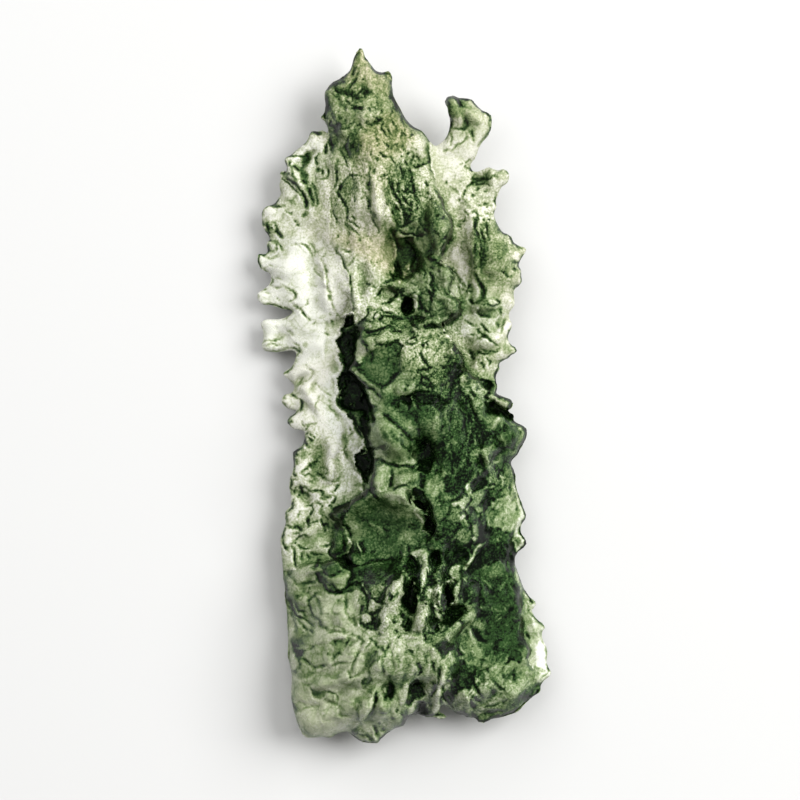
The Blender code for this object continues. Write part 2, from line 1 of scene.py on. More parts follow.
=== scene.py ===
"""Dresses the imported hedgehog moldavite: etched green glass, seen from above on a pale studio table.

The stone's fine surface is worked into a copy of the CAD node's own mesh. Its plan is drawn on a grid,
x to the right and y down, that is laid over the node's box, so every place follows the frame.
"""

import logging
import math
from collections.abc import Mapping
from dataclasses import dataclass, field
from enum import Enum
from typing import Any, ClassVar

import bmesh
import bpy
import numpy as np
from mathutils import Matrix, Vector, noise


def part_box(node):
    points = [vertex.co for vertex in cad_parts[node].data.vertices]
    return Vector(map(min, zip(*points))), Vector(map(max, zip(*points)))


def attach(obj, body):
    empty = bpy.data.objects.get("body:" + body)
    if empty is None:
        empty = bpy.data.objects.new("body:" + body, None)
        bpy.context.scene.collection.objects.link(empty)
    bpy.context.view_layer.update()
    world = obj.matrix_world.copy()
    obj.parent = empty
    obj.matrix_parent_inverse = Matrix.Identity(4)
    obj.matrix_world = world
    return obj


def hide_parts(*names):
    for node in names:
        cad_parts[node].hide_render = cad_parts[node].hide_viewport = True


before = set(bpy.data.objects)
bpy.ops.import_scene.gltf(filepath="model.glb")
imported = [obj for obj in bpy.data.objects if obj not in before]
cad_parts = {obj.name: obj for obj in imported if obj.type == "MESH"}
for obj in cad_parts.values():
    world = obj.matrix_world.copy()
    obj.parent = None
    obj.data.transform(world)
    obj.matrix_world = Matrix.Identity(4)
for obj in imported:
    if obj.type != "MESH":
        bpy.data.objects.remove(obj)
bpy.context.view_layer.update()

MM = 0.001
NODE = "moldavite"
BODY = "root"
log = logging.getLogger("moldavite")

Points = list[tuple[float, float]]
Spots = list[tuple[float, float, float]]
# the way towards the key light, on the grid: drawn lines get a painted highlight on the lip that faces it and
# a painted shadow on their other side
LIT_SIDE = np.array([0.93, -0.37])
# how much a spot still counts far beyond its reach, so that every place has a value
FAR_SHARE = 1e-9


def linear(hex_colour: str) -> tuple[float, float, float, float]:
    """Turns an sRGB hex colour into Blender's linear colour.

    Args:
        hex_colour: Six hex digits after a hash sign.

    Returns:
        Linear red, green and blue, and an alpha of 1.
    """
    parts = (int(hex_colour[start : start + 2], 16) / 255 for start in (1, 3, 5))
    red, green, blue = (
        part / 12.92 if part <= 0.04045 else ((part + 0.055) / 1.055) ** 2.4 for part in parts
    )
    return red, green, blue, 1.0


def add_node(
    tree: bpy.types.NodeTree,
    kind: str,
    settings: Mapping[str | int, Any] | None = None,
    links: Mapping[str | int, bpy.types.NodeSocket] | None = None,
) -> bpy.types.Node:
    """Adds a node with its settings and its links.

    Args:
        tree: The node tree that gets the node.
        kind: The node's type name.
        settings: Values by attribute name, or by the name or number of an input socket.
        links: Output sockets by the name or number of the input that each feeds.

    Returns:
        The new node.
    """
    node = tree.nodes.new(kind)
    for name, value in (settings or {}).items():
        if isinstance(name, str) and hasattr(node, name):
            setattr(node, name, value)
        else:
            node.inputs[name].default_value = value
    for name, output in (links or {}).items():
        tree.links.new(output, node.inputs[name])
    return node


@dataclass(frozen=True)
class PlanGrid:
    """The grid that the stone's plan is drawn on, fitted to the length and left side of the CAD node."""

    left: float = 257.3
    top: float = 49.5
    bottom: float = 743.0

    @property
    def step(self) -> float:
        """The size of a grid step in metres."""
        low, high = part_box(NODE)
        return (high.y - low.y) / (self.bottom - self.top)

    def to_metres(self, x: float, y: float) -> tuple[float, float]:
        """A place on the grid in metres of the frame."""
        low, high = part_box(NODE)
        return low.x + (x - self.left) * self.step, high.y - (y - self.top) * self.step

    def from_metres(self, places: np.ndarray) -> np.ndarray:
        """Finds places of the frame on the grid.

        Args:
            places: Rows of frame places in metres.

        Returns:
            Rows of grid x and y.
        """
        low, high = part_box(NODE)
        x = self.left + (places[:, 0] - low.x) / self.step
        y = self.top + (high.y - places[:, 1]) / self.step
        return np.column_stack((x, y))


class Profile(Enum):
    """How a stroke shapes the surface across its line."""

    GROOVE = -1.0
    RIDGE = 1.0


@dataclass(frozen=True)
class Stroke:
    """A line worked into the sculpted face, with a lip along each side. Its darkness is painted light:
    painted shade along a groove, a painted highlight along a ridge, a painted highlight on the lip that faces
    LIT_SIDE and a painted shadow, the halo, on the side away from it.

    The half width is in grid steps and the height in millimetres. The lip's place and half width
    and the halo's reach are in half widths of the line.
    """

    line: Points
    width: float
    shade: float
    profile: Profile = Profile.GROOVE
    height: float = 0.07
    lip_at: ClassVar[float] = 1.6
    lip_half: ClassVar[float] = 0.6
    lip_lift: ClassVar[float] = 0.4
    lip_glow: ClassVar[float] = 0.3
    halo_reach: ClassVar[float] = 2.8
    halo_shade: ClassVar[float] = 0.4
    nearest: ClassVar[float] = 0.01

    def work(self, plan: np.ndarray) -> tuple[np.ndarray, np.ndarray]:
        """Works out what the stroke does at places on the grid.

        Args:
            plan: Rows of grid x and y.

        Returns:
            The lift in millimetres and the added painted shade at each row, negative where a highlight is
            painted.
        """
        lift = np.zeros(len(plan))
        dark = np.zeros(len(plan))
        line = np.array(self.line, float)
        reach = self.halo_reach * self.width
        low, high = line.min(0) - reach, line.max(0) + reach
        near = np.flatnonzero(((plan > low) & (plan < high)).all(1))
        if len(near) == 0:
            return lift, dark
        apart, along = beside_line(plan[near], line)
        distance = np.linalg.norm(apart, axis=1)
        away = distance / self.width
        fade = 0.5 + 0.5 * np.sin(math.pi * along)
        share = np.clip(1.0 - away, 0.0, 1.0)
        lip = np.clip(1.0 - np.abs(away - self.lip_at) / self.lip_half, 0.0, 1.0)
        halo = np.clip(1.0 - away / self.halo_reach, 0.0, 1.0)
        sign = self.profile.value
        lit = sign * (apart @ LIT_SIDE) / np.maximum(distance, self.nearest)
        lift[near] = sign * self.height * fade * (share - self.lip_lift * lip)
        # painted shadow on the side away from LIT_SIDE, painted highlight on the lip that faces it
        edge = self.halo_shade * halo * np.clip(-lit, 0.0, 1.0)
        edge -= self.lip_glow * lip * np.clip(lit, 0.0, 1.0)
        dark[near] = abs(self.shade) * fade * (edge - sign * share)
        return lift, dark


@dataclass(frozen=True)
class Oval:
    """A lump, or with a negative height a pit, with its long axis turned anticlockwise by some degrees. Its
    shade darkens the glass over it, and a negative one pales it: in small ovals this is mostly painted shade
    in pits and painted highlights on lumps, in broad ones a deeper or paler green of the glass.
    """

    x: float
    y: float
    half_length: float
    half_width: float
    turn: float
    height: float
    shade: float

    def work(self, plan: np.ndarray) -> tuple[np.ndarray, np.ndarray]:
        """Works out what the oval does at places on the grid.

        Args:
            plan: Rows of grid x and y.

        Returns:
            The lift in millimetres and the added darkness at each row, negative where the oval pales the
            glass.
        """
        turn = math.radians(self.turn)
        across_x, across_y = plan[:, 0] - self.x, self.y - plan[:, 1]
        along = (across_x * math.cos(turn) + across_y * math.sin(turn)) / self.half_length
        across = (across_y * math.cos(turn) - across_x * math.sin(turn)) / self.half_width
        bulge = np.clip(1.0 - along**2 - across**2, 0.0, 1.0)
        return self.height * bulge, self.shade * np.sqrt(bulge)


@dataclass(frozen=True)
class Facet:
    """A plane with a crisp border: it sets the tone inside, and lifts or sinks the face in millimetres. The
    dark facets sunk into the chasm, hollows, gaps, slots and pits are painted shade.
    """

    border: Points
    tone: float
    lift: float = 0.0
    rim: float = 1.6

    def cover(self, plan: np.ndarray) -> np.ndarray:
        """Works out how far places on the grid are inside the facet.

        Args:
            plan: Rows of grid x and y.

        Returns:
            0 for each row outside, rising to 1 over the rim's width in grid steps.
        """
        cover = np.zeros(len(plan))
        ring = np.array(self.border + self.border[:1], float)
        near = np.flatnonzero(((plan > ring.min(0)) & (plan < ring.max(0))).all(1))
        if len(near):
            away = np.linalg.norm(beside_line(plan[near], ring)[0], axis=1)
            inside = within(plan[near], self.border)
            cover[near] = np.clip(away / self.rim, 0.0, 1.0) * inside
        return cover


def path(written: str) -> Points:
    """The places of a path, each written as x,y."""
    return [(float(x), float(y)) for x, y in (word.split(",") for word in written.split())]


def spots(written: str) -> Spots:
    """The spots in a text, each written as x,y,value."""
    rows = (word.split(",") for word in written.split())
    return [(float(x), float(y), float(value)) for x, y, value in rows]


def drawn(written: str) -> list[tuple[list[float], Points]]:
    """Reads the paths of drawn shapes.

    Args:
        written: Each path's places. A path starts with its settings, which have slashes between them, or
            after a semicolon, where it shares the settings before it. A line that starts with # only
            says what is drawn.

    Returns:
        The settings and the places of each path.
    """
    lines = [line for line in written.splitlines() if not line.startswith("#")]
    paths: list[tuple[list[float], Points]] = []
    settings: list[float] = []
    for word in " ".join(lines).replace(";", " ;").split():
        if "," in word:
            paths[-1][1].extend(path(word))
            continue
        if word != ";":
            settings = [float(part) for part in word.split("/")]
        paths.append((settings, []))
    return paths


def strokes(written: str) -> list[Stroke]:
    """Reads strokes, each set by a half width and a shade.

    Args:
        written: The strokes' paths, as drawn reads them.

    Returns:
        The strokes: a dark one is a groove with painted shade along it, and a pale one a ridge with a painted
            highlight along it.
    """
    return [
        Stroke(line, width, shade, Profile.RIDGE if shade < 0.0 else Profile.GROOVE)
        for (width, shade), line in drawn(written)
    ]


def ovals(written: str) -> list[Oval]:
    """Ovals, each set by its half length, half width, turn, height and shade."""
    return [Oval(*places[0], *settings) for settings, places in drawn(written)]


def facets(written: str) -> list[Facet]:
    """Facets, each set by a tone, and where it has them a lift and a rim."""
    return [Facet(border, *settings) for settings, border in drawn(written)]


def beside_line(plan: np.ndarray, line: np.ndarray) -> tuple[np.ndarray, np.ndarray]:
    """Finds where rows of grid x and y lie beside an open line.

    Args:
        plan: Rows of grid x and y.
        line: Rows of the line's own x and y.

    Returns:
        The step to each row from the nearest place on the line, and how far along the line that
        place is, from 0 at its start to 1 at its end.
    """
    legs = np.diff(line, axis=0)
    lengths = np.linalg.norm(legs, axis=1)
    passed = np.cumsum(lengths) - lengths
    apart = np.full(plan.shape, np.inf)
    along = np.zeros(len(plan))
    for start, leg, length, before in zip(line, legs, lengths, passed):
        offset = plan - start
        share = np.clip(offset @ leg / length**2, 0.0, 1.0)
        step = offset - share[:, None] * leg
        nearer = (step**2).sum(1) < (apart**2).sum(1)
        apart[nearer] = step[nearer]
        along[nearer] = (before + share[nearer] * length) / lengths.sum()
    return apart, along


def within(plan: np.ndarray, border: Points) -> np.ndarray:
    """Finds which rows of grid x and y lie inside a closed border.

    Args:
        plan: Rows of grid x and y.
        border: The border's corners in order.

    Returns:
        True for each row inside.
    """
    odd = np.zeros(len(plan), bool)
    for index, end in enumerate(border):
        start = border[index - 1]
        spans = (start[1] > plan[:, 1]) != (end[1] > plan[:, 1])
        rise = end[1] - start[1] or 1.0
        crossing = start[0] + (plan[:, 1] - start[1]) / rise * (end[0] - start[0])
        odd ^= spans & (plan[:, 0] < crossing)
    return odd


def between_spots(plan: np.ndarray, spots: Spots, reach: float) -> np.ndarray:
    """Spreads values given at a few spots over the plan.

    Args:
        plan: Rows of grid x and y.
        spots: Grid x, grid y and the value there.
        reach: How far a spot's value carries, in grid steps.

    Returns:
        The value at each row.
    """
    total = np.zeros(len(plan))
    weight = np.zeros(len(plan))
    for x, y, value in spots:
        square = ((plan[:, 0] - x) ** 2 + (plan[:, 1] - y) ** 2) / reach**2
        share = np.exp(-square) + FAR_SHARE / (1.0 + square)
        total += share * value
        weight += share
    return total / weight


def ramp(values: np.ndarray, start: float, span: float) -> np.ndarray:
    """Values as a share that rises from 0 at the start to 1 a span beyond it."""
    return np.clip((values - start) / span, 0.0, 1.0)


def edge_ends(shape: bmesh.types.BMesh) -> np.ndarray:
    """Each edge of a mesh as a row with the numbers of its two points."""
    return np.array([(edge.verts[0].index, edge.verts[1].index) for edge in shape.edges])


def neighbours_mean(ends: np.ndarray, heights: np.ndarray) -> np.ndarray:
    """Works out how high each point's neighbours are.

    Args:
        ends: Rows with the numbers of each edge's two points.
        heights: Each point's height.

    Returns:
        The mean height at the other end of each point's edges, or 0 where it has none.
    """
    size = len(heights)
    count = np.bincount(ends.ravel(), minlength=size)
    total = np.bincount(ends[:, 0], heights[ends[:, 1]], size)
    total += np.bincount(ends[:, 1], heights[ends[:, 0]], size)
    return total / np.maximum(count, 1)


@dataclass(frozen=True)
class EtchedGlass:
    """Moldavite: natural bottle-green glass whose skin was etched by ground water, so it is satin.

    The five greens run from thin clear glass to the black of deep glass, and the same greens also show the
    painted shade and painted highlights that the stone's shade holds. The real etched skin's grain is too
    fine to show, so it is drawn as coarse as a step or two of the plan.
    """

    clear: str = "#F7F9EF"
    sage: str = "#C0C8A8"
    leaf: str = "#7C9160"
    bottle: str = "#315026"
    black: str = "#030B02"
    residue: str = "#F3E6D8"
    depth_colour: str = "#BCD68F"
    depth_density: float = 90.0
    ior: float = 1.49
    transmission: float = 0.4
    shine: float = 0.15
    smoothest: float = 0.2
    roughest: float = 0.38
    grain_size: float = 0.14 * MM
    grain_relief: float = 0.012 * MM
    grain_shade: float = 1.8
    patch_size: float = 1.4 * MM
    patch_shade: float = 0.18
    crease_size: float = 0.7 * MM
    crease_sway: float = 0.5 * MM
    crease_width: float = 0.12
    crease_shade: float = 0.16

    def material(self) -> bpy.types.Material:
        """Builds the glass.

        Returns:
            A material that reads the stone's shade, grain and stain attributes.
        """
        glass = bpy.data.materials.new("moldavite_etched_natural_glass")
        glass.use_nodes = True
        tree = glass.node_tree
        tree.nodes.clear()
        place = add_node(tree, "ShaderNodeTexCoord").outputs["Object"]
        fine = add_node(
            tree, "ShaderNodeTexNoise",
            {"Scale": 1.0 / self.grain_size, "Detail": 4.0, "Roughness": 0.6}, {"Vector": place},
        ).outputs["Fac"]
        broad = add_node(
            tree, "ShaderNodeTexNoise",
            {"Scale": 1.0 / self.patch_size, "Detail": 3.0, "Roughness": 0.55}, {"Vector": place},
        ).outputs["Fac"]
        rough = add_node(
            tree, "ShaderNodeMapRange",
            {"From Min": 0.3, "From Max": 0.7, "To Min": self.smoothest, "To Max": self.roughest},
            {"Value": broad},
        ).outputs["Result"]
        bump = add_node(
            tree, "ShaderNodeBump", {"Strength": 0.6, "Distance": self.grain_relief}, {"Height": fine}
        ).outputs["Normal"]
        colour = self.colour(tree, self.tone(tree, place, fine, broad))
        shader = add_node(
            tree, "ShaderNodeBsdfPrincipled",
            {"IOR": self.ior, "Transmission Weight": self.transmission, "Specular IOR Level": self.shine},
            {"Base Color": colour, "Roughness": rough, "Normal": bump},
        )
        depth = add_node(
            tree, "ShaderNodeVolumeAbsorption",
            {"Color": linear(self.depth_colour), "Density": self.depth_density},
        )
        add_node(
            tree, "ShaderNodeOutputMaterial", {},
            {"Surface": shader.outputs["BSDF"], "Volume": depth.outputs["Volume"]},
        )
        return glass

    def tone(
        self,
        tree: bpy.types.NodeTree,
        place: bpy.types.NodeSocket,
        fine: bpy.types.NodeSocket,
        broad: bpy.types.NodeSocket,
    ) -> bpy.types.NodeSocket:
        """Adds painted shade along etched creases, grain and patches to the stone's own shade.

        Args:
            tree: The glass's node tree.
            place: The place on the stone.
            fine: A noise as fine as the grain.
            broad: A noise as broad as the patches.

        Returns:
            The tone, from 0 for clear to 1 for black.
        """
        shade = add_node(tree, "ShaderNodeAttribute", {"attribute_name": "shade"}).outputs["Fac"]
        grain = add_node(tree, "ShaderNodeAttribute", {"attribute_name": "grain"}).outputs["Fac"]
        sway = add_node(
            tree, "ShaderNodeTexNoise", {"Scale": 1.0 / self.crease_size, "Detail": 2.0}, {"Vector": place}
        ).outputs["Color"]
        swayed = add_node(
            tree, "ShaderNodeVectorMath",
            {"operation": "MULTIPLY_ADD", 1: (self.crease_sway,) * 3}, {0: sway, 2: place},
        ).outputs["Vector"]
        edge = add_node(
            tree, "ShaderNodeTexVoronoi",
            {"feature": "DISTANCE_TO_EDGE", "Scale": 1.0 / self.crease_size}, {"Vector": swayed},
        ).outputs["Distance"]
        # painted shade along the etched creases between cells
        crease = add_node(
            tree, "ShaderNodeMapRange",
            {"From Min": 0.0, "From Max": self.crease_width, "To Min": 1.0, "To Max": 0.0}, {"Value": edge},
        ).outputs["Result"]
        patchy = add_node(
            tree, "ShaderNodeMapRange",
            {"From Min": 0.45, "From Max": 0.6, "To Min": 0.0, "To Max": self.crease_shade}, {"Value": broad},
        ).outputs["Result"]
        creased = add_node(
            tree, "ShaderNodeMath", {"operation": "MULTIPLY_ADD"}, {0: crease, 1: patchy, 2: shade}
        ).outputs[0]
        speckle = add_node(
            tree, "ShaderNodeMath", {"operation": "SUBTRACT", 1: 0.5}, {0: fine}
        ).outputs[0]
        grains = add_node(
            tree, "ShaderNodeMath", {"operation": "MULTIPLY"}, {0: speckle, 1: grain}
        ).outputs[0]
        grained = add_node(
            tree, "ShaderNodeMath",
            {"operation": "MULTIPLY_ADD", 1: self.grain_shade}, {0: grains, 2: creased},
        ).outputs[0]
        patch = add_node(tree, "ShaderNodeMath", {"operation": "SUBTRACT", 1: 0.5}, {0: broad}).outputs[0]
        return add_node(
            tree, "ShaderNodeMath",
            {"operation": "MULTIPLY_ADD", 1: self.patch_shade, "use_clamp": True}, {0: patch, 2: grained},
        ).outputs[0]

    def colour(self, tree: bpy.types.NodeTree, tone: bpy.types.NodeSocket) -> bpy.types.NodeSocket:
        """Colours the glass by its tone, with a warm stain where residue is left.

        Args:
            tree: The glass's node tree.
            tone: The tone, from 0 for clear to 1 for black.

        Returns:
            The colour.
        """
        greens = add_node(tree, "ShaderNodeValToRGB", {}, {"Fac": tone})
        stops = greens.color_ramp.elements
        stops[0].color = linear(self.clear)
        stops[1].color = linear(self.black)
        for position, colour in ((0.25, self.sage), (0.5, self.leaf), (0.75, self.bottle)):
            stops.new(position).color = linear(colour)
        stain = add_node(tree, "ShaderNodeAttribute", {"attribute_name": "stain"}).outputs["Fac"]
        return add_node(
            tree, "ShaderNodeMix",
            {"data_type": "RGBA", "blend_type": "MULTIPLY", 7: linear(self.residue)},
            {0: stain, 6: greens.outputs["Color"]},
        ).outputs[2]


@dataclass(frozen=True)
class Stretch:
    """A part of the sculpted face with a crisp border, its tones and the depth of its etching.

    A tone runs from 0, clear and pale, to 1, black. A spot holds grid x, grid y, and the tone or the depth
    in millimetres there. The cell is the size of an etched cup in grid steps.
    """

    border: Points
    tones: Spots
    reliefs: Spots
    cell: float
    lumpy: bool
    palest: float


@dataclass(frozen=True)
class Flow:
    """A place where the etched texture runs in a stated direction, in degrees anticlockwise from x."""

    x: float
    y: float
    turn: float


@dataclass
class Stone:
    """The whole stone, worked from a merged copy of the CAD node's mesh.

    Reaches and nudges are in grid steps. Every mark paints light: painted shade along drawn grooves, in
    etched creases and pits and on the steep walls of dark glass, and painted highlights along drawn ridges
    and on what stands proud; the broad ovals instead deepen or pale the glass's green. A shade is how much
    darkness a full mark adds. Marks are weaker where the skin is even. Edge on and facing are heights of the
    normal.
    """

    grid: PlanGrid = field(default_factory=PlanGrid)
    finish: EtchedGlass = field(default_factory=EtchedGlass)
    merge_distance: float = 0.002 * MM
    roundness: float = 0.6
    upper_cuts: int = 2
    edge_on: float = 0.05
    facing: float = 0.25
    easing_rounds: int = 6
    level_rounds: int = 400
    needle_height: float = 0.7 * MM
    needle_rounds: int = 6
    pit_depth: float = 0.07 * MM
    pit_rounds: int = 10
    tone_reach: float = 14.0
    flow_reach: float = 26.0
    nudge_seed: int = 7
    slow_nudge: float = 1.9
    slow_pace: float = 0.12
    quick_nudge: float = 1.0
    quick_pace: float = 0.37
    quick_pattern: float = 9.0
    turns: int = 4
    least_share: float = 0.02
    stretch_along: float = 2.4
    fine_cells: float = 2.3
    fine_share: float = 0.35
    fine_pattern: float = 7.0
    deepest: float = 0.8
    crease_width: float = 0.16
    fine_crease_width: float = 0.2
    fine_crease_share: float = 0.5
    crease_cut: float = 0.5
    crease_shade: float = 0.06
    wall_shade: float = 0.4
    wall_from: float = 0.28
    wall_over: float = 0.5
    dark_from: float = 0.1
    dark_over: float = 1 / 3
    pit_shade: float = 0.25
    proud_shade: float = 0.5
    wing_marks: float = 0.9
    even_marks: float = 0.35
    grain_marks: float = 0.7
    fewest_marks: float = 0.5
    base_from: float = 578.0
    base_over: float = 20.0
    base_deeper: float = 0.08
    under_share: float = 0.6

    def build(self) -> bpy.types.Object:
        """Builds the stone and puts it in the place of its CAD node.

        Returns:
            The finished piece.
        """
        shape = self.refined_copy()
        places, normals = self.read(shape)
        plan = self.grid.from_metres(places)
        uneven = self.wobbled(plan)
        which = self.stretch_at(uneven)
        grain = between_spots(uneven, GRAINS, self.flow_reach)
        places[:, 2] = self.levelled(shape, places, normals, plan)
        for trough in TROUGHS:
            places[:, 2] -= trough.cover(uneven) * np.maximum(places[:, 2] - trough.lift * MM, 0.0)
        places[:, 2] = self.without_needles(shape, places)
        tones, lift, dark = self.worked(uneven, which)
        etched, creases = self.etching(uneven, which)
        upward = ramp(normals[:, 2], 0.0, self.facing)
        downward = ramp(-normals[:, 2], 0.0, self.facing)
        upper = ramp(normals[:, 2], -self.edge_on, self.edge_on)
        places[:, 2] += ((lift + etched) * upward + np.abs(etched) * downward) * MM
        self.write(shape, places)
        places, normals = self.read(shape)
        # painted shade along grooves, etched creases, pits and steep walls, painted highlights along ridges
        # and on what stands proud, and the broad ovals' deeper or paler green
        painted_shading_and_depth = dark + self.crease_shade * creases + self.painted_relief_shade(shape, places, normals, tones)
        trunk_marks = np.clip(self.even_marks + self.grain_marks * grain, self.fewest_marks, 1.0)
        painted_shading_and_depth *= np.where(which, self.wing_marks, trunk_marks)
        shade = self.deepened(np.clip(tones + painted_shading_and_depth, 0.0, 1.0), uneven, which)
        shade *= upper + (1.0 - upper) * self.under_share
        mesh = bpy.data.meshes.new("moldavite_stone")
        shape.to_mesh(mesh)
        shape.free()
        mesh.shade_smooth()
        self.paint(mesh, "shade", shade)
        self.paint(mesh, "grain", grain)
        self.paint(mesh, "stain", np.clip(between_spots(uneven, STAINS, self.tone_reach), 0.0, 1.0))
        mesh.materials.append(self.finish.material())
        stone = bpy.data.objects.new("moldavite_stone", mesh)
        bpy.context.scene.collection.objects.link(stone)
        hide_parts(NODE)
        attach(stone, BODY)
        return stone

    def refined_copy(self) -> bmesh.types.BMesh:
        """Copies and merges the CAD mesh, refines it most on its upper face, and eases its facets.

        Returns:
            The copy, whose sheer walls keep their places.
        """
        shape = bmesh.new()
        shape.from_mesh(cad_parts[NODE].data)
        bmesh.ops.remove_doubles(shape, verts=shape.verts[:], dist=self.merge_distance)
        bmesh.ops.subdivide_edges(
            shape, edges=shape.edges[:], cuts=1, smooth=self.roundness, use_grid_fill=True
        )
        upper = [
            edge for edge in shape.edges if any(face.normal.z > -self.edge_on for face in edge.link_faces)
        ]
        bmesh.ops.subdivide_edges(
            shape, edges=upper, cuts=self.upper_cuts, smooth=self.roundness, use_grid_fill=True
        )
        bmesh.ops.triangulate(shape, faces=[face for face in shape.faces if len(face.verts) > 3])
        walls = {vert for face in shape.faces if abs(face.normal.z) < self.edge_on for vert in face.verts}
        free = [vert for vert in shape.verts if vert not in walls]
        for _ in range(self.easing_rounds):
            bmesh.ops.smooth_vert(
                shape, verts=free, factor=0.5, use_axis_x=True, use_axis_y=True, use_axis_z=True
            )
        return shape

    @staticmethod
    def read(shape: bmesh.types.BMesh) -> tuple[np.ndarray, np.ndarray]:
        """Reads a mesh's points.

        Args:
            shape: The mesh.

        Returns:
            Rows of the points' places and rows of their normals.
        """
        shape.normal_update()
        return (
            np.array([vert.co[:] for vert in shape.verts]),
            np.array([vert.normal[:] for vert in shape.verts]),
        )

    @staticmethod
    def write(shape: bmesh.types.BMesh, places: np.ndarray) -> None:
        """Moves a mesh's points, kept inside the CAD box.

        Args:
            shape: The mesh.
            places: Rows of the points' new places.
        """
        low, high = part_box(NODE)
        inside = np.clip(places, np.array(low), np.array(high))
        for vert, place in zip(shape.verts, inside):
            vert.co = place
        shape.normal_update()

    def levelled(
        self, shape: bmesh.types.BMesh, places: np.ndarray, normals: np.ndarray, plan: np.ndarray
    ) -> np.ndarray:
        """Stretches a smooth skin over the CAD's round cups and swells, where finer forms are worked instead.

        Args:
            shape: The refined copy.
            places: Rows of its points' places.
            normals: Rows of its points' normals.
            plan: The same points' grid x and y.

        Returns:
            Each point's new height in metres.
        """
        covered = np.any([form.work(plan)[0] > 0.0 for form in LEVELLED], axis=0)
        inside = covered & (normals[:, 2] > 0.0)
        ends = edge_ends(shape)
        ends = ends[inside[ends].any(1)]
        level = places[:, 2].copy()
        for _ in range(self.level_rounds):
            level[inside] = neighbours_mean(ends, level)[inside]
        return level

    def without_needles(self, shape: bmesh.types.BMesh, places: np.ndarray) -> np.ndarray:
        """Brings points that stand alone beside a sheer wall to the height of their neighbours.

        Args:
            shape: The refined copy.
            places: Rows of its points' places.

        Returns:
            Each point's new height in metres.
        """
        ends = edge_ends(shape)
        level = places[:, 2].copy()
        for _ in range(self.needle_rounds):
            mean = neighbours_mean(ends, level)
            alone = np.abs(level - mean) > self.needle_height
            level[alone] = mean[alone]
        return level

    def wobbled(self, plan: np.ndarray) -> np.ndarray:
        """Nudges places on the grid, so that a drawn line runs unevenly, as an etched edge does.

        Args:
            plan: Rows of grid x and y.

        Returns:
            The nudged rows.
        """
        noise.seed_set(self.nudge_seed)
        slow, quick = self.slow_pace, self.quick_pace
        nudges = [
            self.slow_nudge * noise.noise_vector(Vector((slow * x, slow * y, 0.0)))
            + self.quick_nudge * noise.noise_vector(Vector((quick * x, quick * y, self.quick_pattern)))
            for x, y in plan
        ]
        return plan + np.array(nudges)[:, :2]

    @staticmethod
    def stretch_at(plan: np.ndarray) -> np.ndarray:
        """Finds the stretch that holds each place: the trunk, 0, holds what no other does.

        Args:
            plan: Rows of grid x and y.

        Returns:
            The number in STRETCHES of each row's stretch.
        """
        which = np.zeros(len(plan), int)
        for number, stretch in enumerate(STRETCHES):
            which[within(plan, stretch.border)] = number
        return which

    def worked(self, plan: np.ndarray, which: np.ndarray) -> tuple[np.ndarray, np.ndarray, np.ndarray]:
        """Works out what the listed tones and forms give.

        Args:
            plan: Rows of grid x and y.
            which: The number of each row's stretch.

        Returns:
            The tone, the lift in millimetres and the added darkness at each row.
        """
        tones = np.zeros(len(plan))
        for number, stretch in enumerate(STRETCHES):
            tones[which == number] = between_spots(plan[which == number], stretch.tones, self.tone_reach)
        lift = np.zeros(len(plan))
        dark = np.zeros(len(plan))
        for facet in FACETS:
            cover = facet.cover(plan)
            tones += cover * (facet.tone - tones)
            lift += cover * facet.lift
        for form in OVALS + STROKES:
            lifted, darkened = form.work(plan)
            lift += lifted
            dark += darkened
        return tones, lift, dark

    def etching(self, plan: np.ndarray, which: np.ndarray) -> tuple[np.ndarray, np.ndarray]:
        """Etches cups and lumps that run with the flow of the stone.

        Args:
            plan: Rows of grid x and y.
            which: The number of each row's stretch.

        Returns:
            The lift in millimetres, and how near each row is to a crease between two cells.
        """
        cell = np.array([stretch.cell for stretch in STRETCHES])[which]
        lumpy = np.array([stretch.lumpy for stretch in STRETCHES])[which]
        depth = np.zeros(len(plan))
        for number, stretch in enumerate(STRETCHES):
            depth[which == number] = between_spots(plan[which == number], stretch.reliefs, self.flow_reach)
        lift = np.zeros(len(plan))
        creases = np.zeros(len(plan))
        for turn, share in self.flow_shares(plan):
            for index in np.flatnonzero(share > self.least_share):
                x, y = plan[index]
                along = (x * math.cos(turn) - y * math.sin(turn)) / cell[index] / self.stretch_along
                across = (x * math.sin(turn) + y * math.cos(turn)) / cell[index]
                cup, crease = self.cup(along, across, turn)
                shape = -cup - self.crease_cut * crease if lumpy[index] else cup
                lift[index] += share[index] * depth[index] * shape
                creases[index] += share[index] * crease
        return lift, np.clip(creases, 0.0, 1.0)

    def flow_shares(self, plan: np.ndarray) -> list[tuple[float, np.ndarray]]:
        """Splits the direction of flow at each place between a few fixed turns.

        Args:
            plan: Rows of grid x and y.

        Returns:
            Each turn in radians, with the share of it at each row.
        """
        doubled = [(flow.x, flow.y, math.radians(2 * flow.turn)) for flow in FLOWS]
        east = between_spots(plan, [(x, y, math.cos(turn)) for x, y, turn in doubled], self.flow_reach)
        north = between_spots(plan, [(x, y, math.sin(turn)) for x, y, turn in doubled], self.flow_reach)
        turns = [math.radians(180 * count / self.turns) for count in range(self.turns)]
        shares = np.array(
            [np.clip(np.cos(2 * turn) * east + np.sin(2 * turn) * north, 0.0, 1.0) ** 2 for turn in turns]
        )
        return list(zip(turns, shares / shares.sum(0)))

